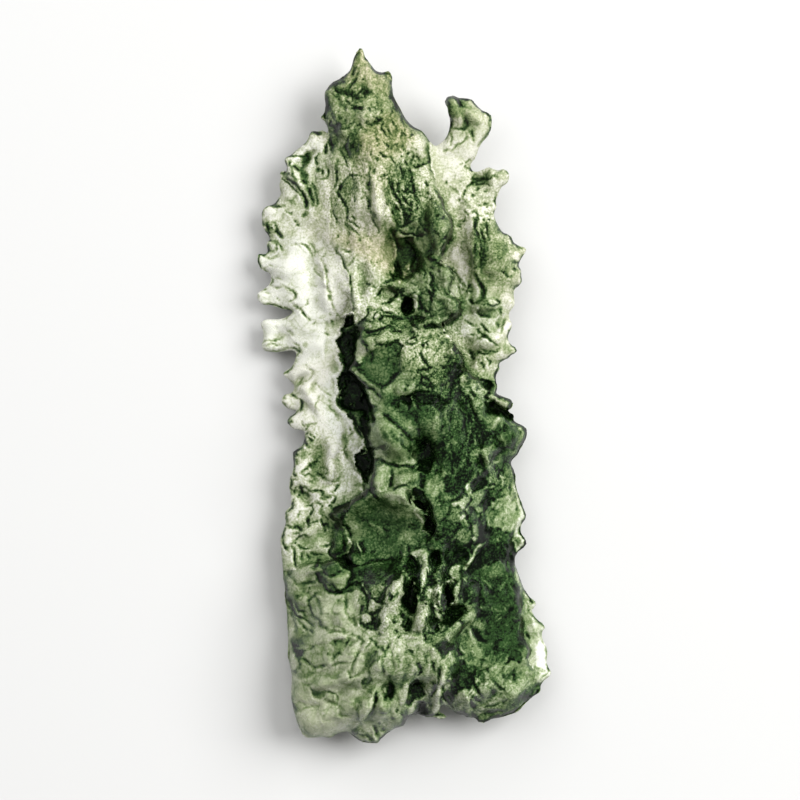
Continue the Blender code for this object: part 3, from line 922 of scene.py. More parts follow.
    def cup(self, along: float, across: float, turn: float) -> tuple[float, float]:
        """Works out the pattern of etched cups at one place.

        Args:
            along: The place along the flow, in cells.
            across: The place across the flow, in cells.
            turn: The turn of the flow in radians, which also picks the pattern.

        Returns:
            How far the place is from the middle depth of its cup, and how near to a crease.
        """
        wide = noise.voronoi(Vector((along, across, turn)))[0]
        finer = Vector((along * self.fine_cells, across * self.fine_cells, turn + self.fine_pattern))
        fine = noise.voronoi(finer)[0]
        middle = self.deepest / 2
        cup = min(wide[0], self.deepest) - middle
        cup += self.fine_share * (min(fine[0], self.deepest) - middle)
        crease = max(0.0, 1.0 - (wide[1] - wide[0]) / self.crease_width)
        crease += self.fine_crease_share * max(0.0, 1.0 - (fine[1] - fine[0]) / self.fine_crease_width)
        return cup, crease

    def painted_relief_shade(
        self, shape: bmesh.types.BMesh, places: np.ndarray, normals: np.ndarray, tones: np.ndarray
    ) -> np.ndarray:
        """Paints shade into pits and onto the steep walls of dark glass, and a painted highlight onto what
        stands proud.

        Args:
            shape: The worked copy.
            places: Rows of its points' places.
            normals: Rows of its points' normals.
            tones: The tone at each point.

        Returns:
            The added painted shade at each point, negative where a highlight is painted.
        """
        ends = edge_ends(shape)
        level = places[:, 2].copy()
        for _ in range(self.pit_rounds):
            level = neighbours_mean(ends, level)
        pits = (level - places[:, 2]) / self.pit_depth * np.sign(normals[:, 2])
        walls = ramp(1.0 - np.abs(normals[:, 2]), self.wall_from, self.wall_over)
        walls *= ramp(tones, self.dark_from, self.dark_over)
        return self.wall_shade * walls + self.pit_shade * np.clip(pits, -self.proud_shade, 1.0)

    def deepened(self, shade: np.ndarray, plan: np.ndarray, which: np.ndarray) -> np.ndarray:
        """Keeps each stretch from getting paler than its palest, with the base a little deeper.

        Args:
            shade: The shade at each row.
            plan: Rows of grid x and y.
            which: The number of each row's stretch.

        Returns:
            The new shade at each row.
        """
        palest = np.array([stretch.palest for stretch in STRETCHES])[which]
        base = ramp(plan[:, 1], self.base_from, self.base_over) * (which == 0)
        return np.hypot(shade, palest + self.base_deeper * base)

    @staticmethod
    def paint(mesh: bpy.types.Mesh, name: str, values: np.ndarray) -> None:
        """Writes a value at each point of the mesh as an attribute that the glass reads."""
        layer = mesh.attributes.new(name, "FLOAT", "POINT")
        layer.data.foreach_set("value", values.astype(np.float32))


# how far a skin reaches past the cup or swell that it is stretched over, in grid steps
SKIN_RIM = 2.0
LEVELLED: list[Oval] = [
    Oval(x, y, half_length + SKIN_RIM, half_width + SKIN_RIM, turn, 1.0, 0.0)
    for x, y, half_length, half_width, turn in (
        (352, 98, 12, 7, 30), (353, 148, 15, 9, 85), (347, 200, 25, 10, 80), (402, 204, 32, 10, 96),
        (405, 250, 24, 11, 96), (383, 366, 25, 17, 132), (424, 452, 21, 9, 112), (418, 398, 28, 5, 4),
        (388, 536, 45, 39, 150), (500, 632, 28, 22, 110), (492, 556, 24, 16, 10), (486, 436, 9, 7, 60),
        (322, 692, 15, 7, 12), (388, 688, 12, 6, 82), (417, 689, 13, 8, 80), (423, 708, 8, 7, 80),
        (402, 657, 30, 13, 78), (428, 668, 28, 9, 98), (328, 647, 26, 11, 28), (352, 648, 22, 7, 36),
        (474, 508, 13, 10, 40), (284, 226, 17, 10, 60), (280, 297, 12, 8, 0), (302, 612, 14, 4, 140),
        (436, 388, 16, 10, 10), (430, 344, 24, 15, 30), (450, 440, 33, 17, 84), (500, 514, 20, 14, 60),
        (335, 214, 98, 17, 93),
    )
]
# the flat floors between the wings and the body, each with its height as its lift
TROUGHS = facets("""
1/2.8/2 324,322 346,316 354,316 356,330 357,345 356,358 353,366 350,371 357,378 364,386 368,395 372,405
375,420 370,423 372,436 372,446 374,452 375,460 372,470 370,484 365,482 354,470 345,455 347,440 340,428
328,414 325,400 324,385 326,370 324,350
1/3.1/2 433,178 438,192 445,210 451,218 453,227 451,239 445,247 440,263 447,268 453,274 452,282 448,292
455,298 462,303 461,312 452,321 442,325 455,338 470,335 474,300 472,260 466,230 462,200 450,175 440,165
""")
# small ovals paint shade into pits and highlights onto lumps; the broad changes of depth deepen or pale the
# glass's green
OVALS = ovals("""
# the top of the left wing
8/5.5/100/0/-0.3 320,143 8/3.5/40/0/-0.3 302,149 10/5/80/-0.06/0.6 307,160 9/5/100/-0.05/0.5 304,176
14/4/140/0.05/-0.2 290,189 7/3/150/0/0.25 291,201 5/3.5/30/-0.05/0.45 305,214 4/2.5/20/0/0.3 305,345
# its teeth
6/3.5/20/0/0.35 309,391 6/3/70/0/0.3 314,383 6/4/0/0.04/-0.3 294,404 17/13/80/0.05/0.25 318,442
7/5/60/0/0.35 304,454 5/4/80/0/0.25 360,441
# its foot
8/4/20/0/-0.35 299,468 15/9/10/0/0.15 315,474 7/3/10/0.03/-0.3 290,532 4/2.5/40/0/-0.3 288,541
17/8/170/0/0.25 332,568 20/10/95/0/0.25 341,538 8/4.5/60/-0.1/0.6 347,559
# the spire
6/2.5/60/0/0.3 359,57 6/4/0/-0.05/0.4 368,94 6/2.5/0/0/0.4 357,110 10/3/85/0/0.35 327,103
15/9/80/-0.06/0.4 353,147 7/5/80/0.03/-0.25 404,151 8/6/60/0.05/-0.2 418,146 15/9/70/0/0.3 349,190
28/6/103/0.06/-0.2 382,208 16/7/95/0/0.25 409,180 5/3/40/-0.08/0.5 411,216 10/5/90/0/-0.1 444,225
20/8/80/0/0.3 432,222
# the chasm under it and the hooked lobes beside it
9/4/70/0.05/-0.15 447,280
# the body
2.5/2/0/0/-0.5 377,317 2.5/1.5/30/0/-0.35 357,379 3/3/0/0.03/-0.2 412,405 9/4/110/0.05/-0.2 435,387
5/4/20/0/-0.15 427,461 2.5/2/0/0/-0.5 363.5,489 5/3/90/0/-0.15 415,475 10/3/90/0.05/-0.2 433,434
8/6/40/0/-0.25 450,445 2/2/0/0/-0.4 443,432 1.8/1.8/0/-0.05/0.9 457,505 3/2/10/0/-0.5 461.5,515
9/6/20/0/-0.25 405,534
# the bowl and the pits below it
2.2/1.2/70/0/-0.5 347,513 9/4/150/0.03/-0.15 378,529 12/7/20/0/-0.2 408,536 8/5/20/0/-0.2 359,558
3/2/0/-0.1/0.8 357,582
# the right wing
5/4/0/0/0.35 484,226 4/3/60/0/-0.3 516,256 7/2.5/85/0/-0.2 505,328
# the lobes under it
3/2/0/0/0.3 520,432 1.6/1.2/0/0/-0.4 520,429 3.5/1.8/0/0/-0.6 496,462
# the right side above the lower bowl
3/1.5/10/0/0.6 492,484 2/1.2/20/0/0.6 475,522 6/5/60/0/0.1 488,571
# the middle below the bowls
2/1.3/90/0/0.8 396,590 2/1/140/0/0.8 438.5,578.5 1.3/1.3/0/0/0.9 437.5,590 1.8/1.5/0/0/0.8 426,598.5
3/1.5/20/0.03/-0.5 448,605.5
# the lower bowl and the base
1.5/1/0/0/0.7 481.5,620 1.5/1/0/0/0.6 487,620 1.5/1/30/0/0.4 498.5,616.5 1.5/1/0/0.02/-0.5 505.5,607
1.3/1.3/0/-0.05/0.95 310,587.5 1.5/1.2/0/0/0.5 377,647
# the base
4/3/0/-0.05/0.2 318,690 2/1.5/80/0/0.9 379.5,721 1.3/1/80/0/0.85 419.5,657.5 2.5/1/85/0/0.9 442.5,686
1.5/1.5/0/0/-0.35 442,634
# broad changes of depth
52/44/90/0/0.25 476,455 38/22/90/0/0.15 450,382 30/26/90/0/0.15 488,505 34/20/20/0/0.18 504,688
28/16/124/0/0.12 392,438 40/16/0/0/0.12 400,328 36/22/0/0/-0.15 330,612 40/20/20/0/-0.12 340,650
40/26/0/0/-0.08 330,705 50/30/90/0/-0.1 370,195 34/16/100/0/-0.1 424,190 60/36/90/0/-0.08 305,295
46/28/90/0/-0.18 320,410 36/20/90/0/0.12 498,268 26/16/90/0/0.06 464,128 24/14/90/0/-0.12 398,256
30/22/90/0/-0.14 430,598 60/36/90/0/-0.06 300,300 30/14/90/0/0.12 505,450 30/18/90/0/0.04 372,272
34/20/90/0/-0.08 300,160 34/24/90/0/-0.05 360,95 50/30/90/0/-0.08 375,200 40/26/0/0/-0.06 400,150
44/14/90/0/-0.1 445,285 60/56/0/0/-0.08 350,640 46/26/0/0/-0.04 340,705 30/14/124/0/0.1 398,440
40/24/90/0/0.1 460,450 26/22/90/0/0.1 488,505 30/12/90/0/0.1 510,450 26/16/90/0/0.06 464,128
34/20/90/0/0.06 310,540 30/26/90/0/0.14 405,657 32/16/124/0/0.1 390,440 40/16/0/0/0.06 400,330
44/36/150/0/-0.06 385,535 30/20/90/0/0.08 478,198 34/20/90/0/0.08 485,335
""")
# the dark facets sunk into the chasm, the hollows, gaps, slots and pits are painted shade in those recesses
FACETS = facets("""
# the chasm under the spire
0.8/-0.15/1.4 394,237 402,238 415,236 415,249 418,259 421,268 420,274 413,276 408,269 404,276 400,281 394,283
391,276 394,266 396,252
0.5 400,281 404,276 408,274 413,276 420,274 422,285 420,293 414,294 404,297 397,290
0.2/0/1.2 404,266 407,263 409,266 406,276 402,281 401,276; 409,297 414,294 419,296 419,306 415,312 412,304
# the flat and the chevrons on its left
0.2 378,288 384,287 390,290 396,296 390,301 384,305 378,303 381,296; 390,301 396,297 402,301 401,309 396,307
# the upper hooked lobe and the pale flat beside it
0.57/0/1.4 426,260 434,262 441,264 448,267 453,272 454,277 451,285 448,292 442,290 432,290 424,288 423,272
0.1/0/1.4 453,233 451,240 446,248 442,258 448,266 454,271 456,278 452,286 450,292 455,298 462,300 466,290
465,275 461,260 458,245
# the black hollows behind the wavy cliff
1/-0.3 346,317 354,316 353,325 345,329 341,333
0.95/-0.3 335,341 340,336 343,331 350,330 353,335 355,345 355,358 352,365 346,366 343,361 339,352; 337,378
341,374 349,372 355,378 362,386 366,395 370,405 372,412 374,420 368,420 360,411 352,412 345,410 339,404
338.5,391
0.9 338,404 345,409 352,411 360,411 368,420 369,430 367,441 366,436 357,431 351,419 341,410
0.95 366,430 369,436 370,444 372,450 365,449 367,441
1/-0.3 355,455 360,450 369,449 373,452 373,458 371,465 370,474 369,482 366,480 360,470 357,466
# the ridges under the flat
0.25 353,303 369,300 368,315 362,321 356,326 352,322 354,312
0.95/-0.15 352,327 358,325 360,330 357,333
0.25 376,309 385,306 395,311 401,317 399,319 388,317 380,312
0.4 385,306 392,301 399,298 403,302 401,309 403,316 398,314
0.92/-0.2/1.4 403,298 409,297 412,304 416,312 410,317 405,317 401,311 403,303
0.3 409,297 414,294 417,299 416,306; 356,338 361,340 366,347 368,353 363,360 359,365 355,362 355,350
# the lower hooked lobe and the slot under it
0.6 424,292 432,290 442,290 448,294 455,299 461,303 461,312 456,319 449,324 441,327 434,322 427,316 424,305
1/-0.3 420,327 426,324 432,322 438,326 446,327 444,330 434,329 426,330
0.9/-0.15 413,318 418,316 428,317 424,322 416,324
# the kite and the planes beside it
0.65/-0.15 372,351 377,348 387,345 398,341 405,345 401,353 400,362 402,372 397,378 382,390 372,381 364,373
360,366 366,357
0.5 397,378 404,372 412,375 416,384 417,392 408,396 394,397 384,393 381,389; 350,370 356,367 362,372 370,381
380,389 384,395 380,398 370,388 360,379 354,376
0.4 362,384 372,391 379,398 387,402 383,408 375,410 369,401 366,394
0.95/-0.15 430,396 438,397 446,402 444,410 440,416 436,410 430,402
0.9 456,360 465,369 459,372 452,371 448,366
0.3 459,375 466,374 468,382 469,391 465,396 460,390 458,382
# the leaf lobe, the black gap beside it and the lumps below
0.35/0.1 370,411 380,411 388,417 396,424 404,432 411,439 417,448 420,456 419,461 411,465 400,465 388,463
380,459 374,458 373,451 370,444 368,436 369,425
1/-0.3/1.4 414,438 421,439 428.5,440 432,448 434,456 434,463 431,470 427,473 421,472 416,470 419,462 420,456
418,449
0.4/0.1 376,467 383,463 390,466 393,475 391,484 388,490 380,493 374,489 373,480
0.45/0.1 393,467 402,467 410,468 413,473 411,481 406,484 399,485 393,487 392,478
0.4/0/2.5 384,492 394,489 404,485 411,489 418,497 423,506 418,508 409,505 398,503 388,499
1/-0.15/1.4 418.5,472 426,473 425.5,480 423.5,488 419,488
1/-0.3/1.4 411,486 417,486 423,489 427,497 432,506 434,518 434,531 431,534 428,532 425,523 422,511 418,502
413,493
0.45/0/1.4 405,489 411,491 416,500 420,510 423,521 427,533 421,528 414,514 408,502
# the right side of the body
0.5/0/2.5 427,478 436,472 446,470 446,480 440,490 438,498 430,497 424,488
0.85/-0.15 468,481 475,476 484,478 488,484 480,488 474,492 470,486
0.5 472,402 482,401 488,410 486,422 478,424 474,414
0.25/0.1 481,446 487,448 490,458 489,470 485,472 482,462 480,452
0.3/0.1 450,502 458,500 465,495 471,489 475,492 482,488 487,494 480,504 470,507 466,512 458,506
0.5 455,538 462,529 469,527 471,534 468,540
# the lobes on the left of the bowl
0.85 338,504 346,500 352,501 347,508 344,515 346,522 340,519 334,514 332,508
0.6/0.1 333,521 340,523 346,528 350,534 349,542 346,549 341,554 337,558 331,553 333,545 331,535 331,526
0.95/-0.15 341,556 345,552 349,550 352,556 353,563 350,565 344,563 341,560
0.6 322,562 331,560 338,563 346,568 340,572 330,574 322,571
0.45/0.1 322,575 330,572 338,574 344,571 351,569 352,575 348,582 342,588 336,590 328,588 323,582
# the ridges and pits below the bowl
0.55 371,584 378,582 386,583 384,590 381,597 374,594 371,590
0.2/0.1 383,592 388,583 394,578 399,573 402,569 404,573 403,582 405,590 402,597 396,600 388,600 384,597
1/-0.3 411,552 414,556 418,561 419,566 417,570 413,571 409,567 408,560
0.8 406,570 412,575 418,580 420,592 418,602 408,604 405,592 404,580
1/-0.3 431,551 434,547 436,551 439,557 442,561 439,566 436,571 432,570 429,563 429,556
0.35/0.1 419,548 428,548 429,556 428,564 430,572 427,580 425,590 421,590 420,580 420,566 421,560; 425,590
430,583 436,580 441,584 440,592 441,600 430,600
0.9/-0.15 443,570 448,566 450,574 446,578
# the horn
0.6 449,101 452,104 456,108 458,112 458,118 452,119 450,112
0.4 463,117 468,114 474,118 480,122 484,118 483,125 479,128 472,126 466,127
0.1 452,119 463,119 465,127 460,130 452,130
# the right wing
0.45 484,172 490,168 492,172 491,177 486,179
0.35 494,173 500,171 506,171 508,175 506,180 500,181 496,178; 462,199 469,199 471,206 465,205
0.45/0/2.5 477,238 486,236 498,240 505,242 509,250 504,262 500,274 490,280 484,272 478,262
0.5 496,240 506,241 509,246 503,256 499,268 492,266 492,252
0.45 508,242 514,246 522,249 519,252 510,252; 480,308 488,307 498,308 500,314 494,319 486,318 480,315;
500,343 508,344 514,350 508,356 501,354
# the opening, the finger and the black hollow under it
0.95/-0.15 475,376 482,379 490,382 492,386 489,389 484,384 478,380
0.3 471,381 476,382 482,385 486,388 488,392 486,397 481,399 475,396 471,390 469,385
0.4/0.1 491,393 496,396 501,399 507,400 511,402 508,409 502,407 495,404 488,400 486,396
1/-0.3 482,400 488,401 494,404 500,407 508,410 512,415 512,420 506,419 501,414 499,417 494,415 488,410
484,405
# the dark lobes under it
0.85 481,431 488,430 495,428 499,434 497,440 490,438 484,441 480,446 479,438
0.6 503,430 512,428 520,429 524,433 523,440 519,446 512,447 506,446 502,440
0.5 491,450 500,449 510,447 518,449 517,453 512,457 508,461 500,460 494,457
0.35 508,450 518,449 515,454 509,457
0.3 481,447 486,445 487,449 489,456 493,460 488,461 484,458 482,452
0.35 485,462 492,463 491,468 489,473 485,471 484,466
# the right side above the lower bowl
0.8 478,470 486,473 487,480 490,484 484,487 478,489 472,492 472,487 470,482
0.3/0.1 449,502 456,499 461,495 465,489 468,486 471,486 472,492 471,498 468,503 465,507 462,508 456,507;
471,492 477,489 482,489 483,494 482,500 479,503 481,509 480,512 484,514 478,518 475,510 470,506 470,500
0.7 483,488 490,487 494,494 497,498 492,503 488,509 484,510 481,505 480,500 483,497
0.5 489,489 495,485 500,483 508,481 511,484 509,494 500,498 494,500 489,494
0.35 498,499 508,496 512,497 516,499 520,504 518,512 516,520 514,527 511,533 506,534 500,529 494,526 488,527
485,520 484,513 488,509 493,502
0.1 514,478 517,486 520,498 523,508 526,517 521,524 520,531 523,537 526,541 524,545 519,549 516,554 513,552
513,546 510,541 513,533 516,525 519,515 519,505 516,497 513,488
0 519,521 523,519 521,526 519,532 520,538 514,536 515,530
0.6 512,539 517,538 522,542 519,547 514,545
0.4 470,523 478,521 480,530 476,537 471,533
0.2 469,536 474,534 478,537 476,541 472,540
0.6 456,532 460,528 465,527 469,529 469,536 466,543 461,541 455,537
# the dark roof of the lower bowl, its rim and the lump in it
0.75 480,531 487,529 494,531 500,535 503,538 500,541 496,541 492,542 486,539 480,538 479,535
0.95/-0.15 485,541 493,541 498,546 504,551 510,551 514,556 514,562 511,560 504,562 496,560 488,560 482,565
476,569 469,569 470,563 474,556 480,549
0.2/0.1 462,568 465,563 469,557 473,550 478,544 486,539.5 482,545 477,551 472,559 469,565 466,570
0.95/-0.15 502,542 506,541 509,545 508,549 504,548
0.75/0.1 481,569 484,565 490,562 496,560 503,562 507,566 509,573 508,582 503,588 495,590 488,588 484,580
481,574
0.85 509,582 513,578 517,583 517,590 511,590
0.3 513,563 517,570 521,578 524,588 529,597 531,602 524,602 519,592 516,582 513,572
0.9/-0.15 463,582 468,578 474,577 480,580 482,588 484,596 480,602 470,602 463,600 461,592
0.4 461,576 466,572 469,575 465,580 462,580
0.3/0.1 448,568 450,564 455,562 460,564 461,570 460,576 461,583 459,592 457,604 451,606 452,595 452,584
456,579 454,576 450,580 449,584 444,580 449,575 448,571
# the middle below the bowls
0.25/0.1 380,600 384,594 387,584 391,579 397,574 401,570 403,572 403,578 405,584 403,588 401,594 402,600
398,603 399,610 403,617 402,622 400,628 396,634 388,640 378,640
0.6 374,588 380,590 386,591 386,596 382,598 378,602 373,598
0.45 396,604 399,606 403,616 401,624 397,630 393,624 396,614
1/-0.15 408,552 411,552 415,558 419,565 418,572 415,573 411,571 407,566 407,558
0.8/-0.15 404,572 410,571 415,576 418,580 419,590 416,599 411,606 404,608 399,600 402,595 405,590 403,580
0.9/-0.15 399,606 403,608 408,610 411,615 411,622 409,627 403,626 400,622 403,616
0.6 400,628 404,626.5 410,626 409,631 401,631
0.35/0.1 410,551 420,545 428,550 428,560 426,566 427,576 425,583 422,589 420,586 419,576 420,568 420,562
415,557
0.3/0.1 424,590 426,584 430,581 432,585 431,592 427,595
0.35/0.1 432,584 436,580 441,582 441,592 439,600 440,608 437,606 434,598 433,590
0.25/0.1 410.5,620 412,611 415,604 418,598 422,595 427,595 430,598 430,606 427,614 426,622 422,630 417,629
412,627
0.45 424,598 430,598 430,606 428,614 427,622 423,618 424,608
0.95/-0.15 430,596 432,600 434,606 436,614 438,621 441,625 437,628 431,628.5 428,622 429,612 431,604
0.9/-0.15 439,611 444,609 450,607 456,610 454,617 447,623 443,620; 441,586 445,580 450,583 452,590 451,600
450,606 444,608 441,603 442,594
0.45/0.1 444,630 446,626 452,620 458,614 462,611 468,610 463,617 460,622 462,628 458,634 453,642 447,640
0.35 463,617 468,612 474,610 478,614 472,618 466,624 462,624
# the lower bowl
0.65/0/2.5 484,602 492,599 502,600 510,604 508,611 500,612 490,612 484,609
0.9/0/2.5 472,606 478,604 484,607 488,613 486,619 480,620 475,616
0.95/0/2.5 491,646 494,636 498,630 500,640 500,650 497,656 492,654
0.75/0/2.5 500,632 506,630 512,633 512,645 506,650 501,646
0.85/0/2.5 512,626 518,622 522,632 527,641 524,647 516,648 512,640
0.6 518,647 526,645 530.5,650 530,653 524,653 519,656
0.4 462,620 470,612 476,614 472,624 470,634 464,640 459,634
0.5/0/2.5 461,633 470,632 478,640 484,648 480,656 472,656 465,650 460,642
0.8/0/2.5 455,655 462,655 468,660 476,662 478,670 474,682 470,690 464,686 458,688 455,680
# the lower right of the base
0.3 484,676 492,672 499,677 508,677 514,680 520,676 526,680 528,686 522,690 518,696 508,698 504,706 494,707
486,710 478,709 474,704 472,696 476,690 482,684
0.5/0.1 503,665 507,658 512,657 518,661 521,668 518,675 512,679 504,676 501,671
0.4 521,655 528,656 530,665 536,670 534,680 528,678 522,672 518,664
0.6/0/2.5 514,697 520,692 524,686 530,682 538,680 541,686 540,692 534,697 528,702 522,708 515,712 508,713
508,704
0.55 484,712 494,708 506,704 508,712 500,716 492,718 484,721 478,720 474,715
0.35 531,664 536,666 542,668 546,666 548,670 542,673 537,678 533,674
0.2 536,676 542,672 548,668 551,674 546,680 541,684 538,682
0 531,655 532,648 536,644 541,641 545,646 547,652 546,660 546,666 540,668 534,666 531,661
0.2 518,590 520,600 523,612 526,622 529,636 531,646 526,641 522,632 520.5,620 520,608 518,598
0.35 520,590 525,590 530,600 535,604 531,611 535,619 544,627 541,631 541,640 536,643 532,640 529,630 526,618
523,606
0.35/0.1 457,690 461,687 465,687 468,693 470,702 472,708 470,714 462,711 456,710
0.25 472,708 480,709 488,708 490,711 484,713 478,714 473,712
# the plates at the left of the base
0.3 290,570 296,569 310,570 316,572 319,577 315,581 306,582 298,583 294,578 291,574
0.5 298,585 304,583 308,586 305,591 299,590
0.4 287,595 292,588 298,590 298,598 296,604 291,600
0.3/0.1 308,599 312,595 318,592 323,596 330,592 338,591.5 346,591 347,600 347,612 352,617 356,622 356,628
348,629 340,629.5 330,629 326,624 321,621 319,617 313,614 311,608
0.6 322,572 330,573 340,572 348,568 345,573 338,576 330,576
0.45/0.1 330,577 338,575 346,573 351,571 352,575 349,580 345,587 340,589 336,586 332,581
0.65 345,588 350,584 354,581 359,582 360,585 354,587 350,589
0.95/-0.15 354,580 360,580 361,583 358,585 354,583
0.3/0.1 347,593 352,589 357,586 360,586 361,590 363,596 365,602 361,605 362,608 358,613 354,616 350,615
348,608 348,600
0.9/-0.15 361,584 365,582 368,586 371,592 371,600 369,605 366,607 366,600 364,594
0.3/0.1 370,598 373,595 378,598 382,601 380,605 376,609 370,608 367,607
0.2/0.1 361,611 366,609 371,610 373,614 371,620 366,621 362,619
0.7/-0.15 373,612 377,613 379,619 378,624 374,625 370,623 372,619
0.2/0.1 379,608 383,600 387,602 389,610 387,620 384,628 379,629 377,626 380,620
0.4 389,608 395,606 399,615 400,626 394,632 388,630 386,622 388,614
0.5 294,628 298,625 302,629 308,631 313,633 312,639 306,642 299,643 295,640
0.95/-0.15 294,646 299,648 303,647 307,649 305,653 302,656 299,656 296,652
0.1 288,612 293,617 295,625 294,635 292,640 293,650 297,657 300,660 299,668 290,670 288,655 287,635
# the wedge on the base and the lumps beside it
0.35/0.1 306,650 311,647 316,644 322,641 330,641 333,645 330,651 332,656 331,661 325,662 319,665 313,664
308,659 303,655
0.1/0.2 313,641 320,637 327,632 334,630.5 344,630 350,631 348,634 342,636 334,638 328,640 320,641
0.6 329,640 336,638 344,635 350,632 352,634 349,641 345,647 340,652 336,654 333,656 331,651 334,645
0.3/0.1 341,651 346,646 352,641 357,637 361,640 360,645 357,652 354,658 346,660 338,661 334,657
0.5 353,634 358,633 361,637 356,638 352,641; 362,649 368,644 371,640 375,640 378,646 380,650 378,654 372,658
369,664 366,668 362,668 364,660
0.1/0.1 361,643 364,638 368,635 370,638 367,643 363,647
0.25/0.1 357,650 362,648 363,656 361,664 358,669 352,669 355,660; 369,668 370,662 375,656 381,653 382,661
381,668; 384,655 387,648 388,642 392,636 398,632 402,636 404,655 402,672 384,672
# the foot of the base
0.55 293,669 296,667 300,662 301,666 299,671 296,674 294,673
0.4 302,656 308,661 313,666 317,669 312,674 304,678 297,679 296,675 300,670; 382,702 387,698 391,700 388,706
384,712 380,712 380,708; 293,703 298,700 305,703 309,705 303,709 297,712 295,708; 365,682 370,679 376,679
377,683 373,687 370,688 367,685
0.28/0.05 293,679 300,679 309,676 310,682 312,690 315,696 310,700 305,700 298,699 292,696 292,688
0.27/0.1 300,679 312,674 322,670 331,667 340,667 347,667 348,674 343,679 336,683 326,686 318,688 311,682;
357,702 360,696 366,690 372,687 376,688 376,694 374,701 371,708 368,715 362,719 358,715 356,709; 377,690
380,686 386,682 386,690 384,698 382,704 379,710 376,716 372,719 370,716 373,709 376,701
0.58/-0.05 310,683 318,688 328,687 336,688 338,690 334,690 328,691 326,694 322,696 316,696 313,692
0.27/0.1 326,693 330,690 335,690 337,692 336,699 332,700 328,698 326,696
0.18/0.1 296,713 302,710 308,706 314,704 322,703 330,701 337,702 338,708 340,713 350,713 356,714 354,720
352,724 345,727 338,729 333,734 322,735 309,735 303,729 299,722
0.1/0/4 300,714 310,712 320,712 323,716 318,720 308,720 302,719
0.5/0/2.5 302,724 306,726 310,732 318,734 310,736 305,733
0.36 337,702 340,698 346,694 350,690 356,688 360,690 358,698 357,706 356,712 348,712 340,712 338,708; 390,704
396,700 402,705 404,712 404,720 402,724 395,727 390,728
0.5/-0.05/2.5 338,703 343,706 350,711 356,711 350,713 340,714 338,712
0.3/0.05 340,683 348,677 356,671 362,669 367,672 364,678 358,681 354,688 346,692 340,690
0.78/-0.1 361,676 365,673 369,671 372,677 368,680 363,681 361,679
0.85/-0.15 385,687 388,681 391,677 393,681 394,687 392,693 391,698 388,695 386,691
0.2/0.05 361,725 366,720 372,718 376,722 372,727 370,731 366,733 362,729
0.58 350,727 356,725 361,728 358,733 355,735 351,731
0.2/0.1 396,634 402,630 411,630 420,631 424,634 422,638 417,641 414,643 412,649 412,655 409,662 405,668
402,674 398,681 396,676 394,660 392,645; 401,684 404,679 408,677 411,680 409,688 408,696 404,700 399,702
398,694
0.33/0.1 414,651 418,645 424,640 430,641 436,647 437,652 434,658 431,662 435,668 438,672 438,677 436,684
432,690 430,694 427,690 422,682 418,675 417,671 419,667 419,660 415,657
0.87/-0.15 410,680 414,677 417,675 420,678 422,683 425,690 424,693 420,695 416,695 412,699 410,702 409,697
410,690; 419,699 422,698 426,702 429,706 430,711 428,716 423,715 417,713 415,711 418,705
0.2/0.15 410,705 413,699 416,696 419,697 418,703 415,710 413,713 409,715 406,713
0.35 418,693 422,690 425,692 427,696 425,698 421,696
0.8/-0.05 447,662 455,658 464,662 472,668 474,680 468,687 460,688 456,692 454,700 450,704 444,700 442,692
447,686 449,678
0.88/-0.05 431,640 437,638 444,637 452,640 455,643 452,648 447,650 446,656 441,657 438,650 434,645
0.6 426,634 431,631 438,630 444,632 446,636 440,638 432,638; 454,640 460,640 466,645 466,652 460,656 452,655
448,650 452,646
0.13/0.2/1.2 444,660 446,665 445,672 442,680 441,688 440,697 440,706 438,712 434,716 431,712 431,705 430,697
433,690 436,684 438,677 440,670
""")
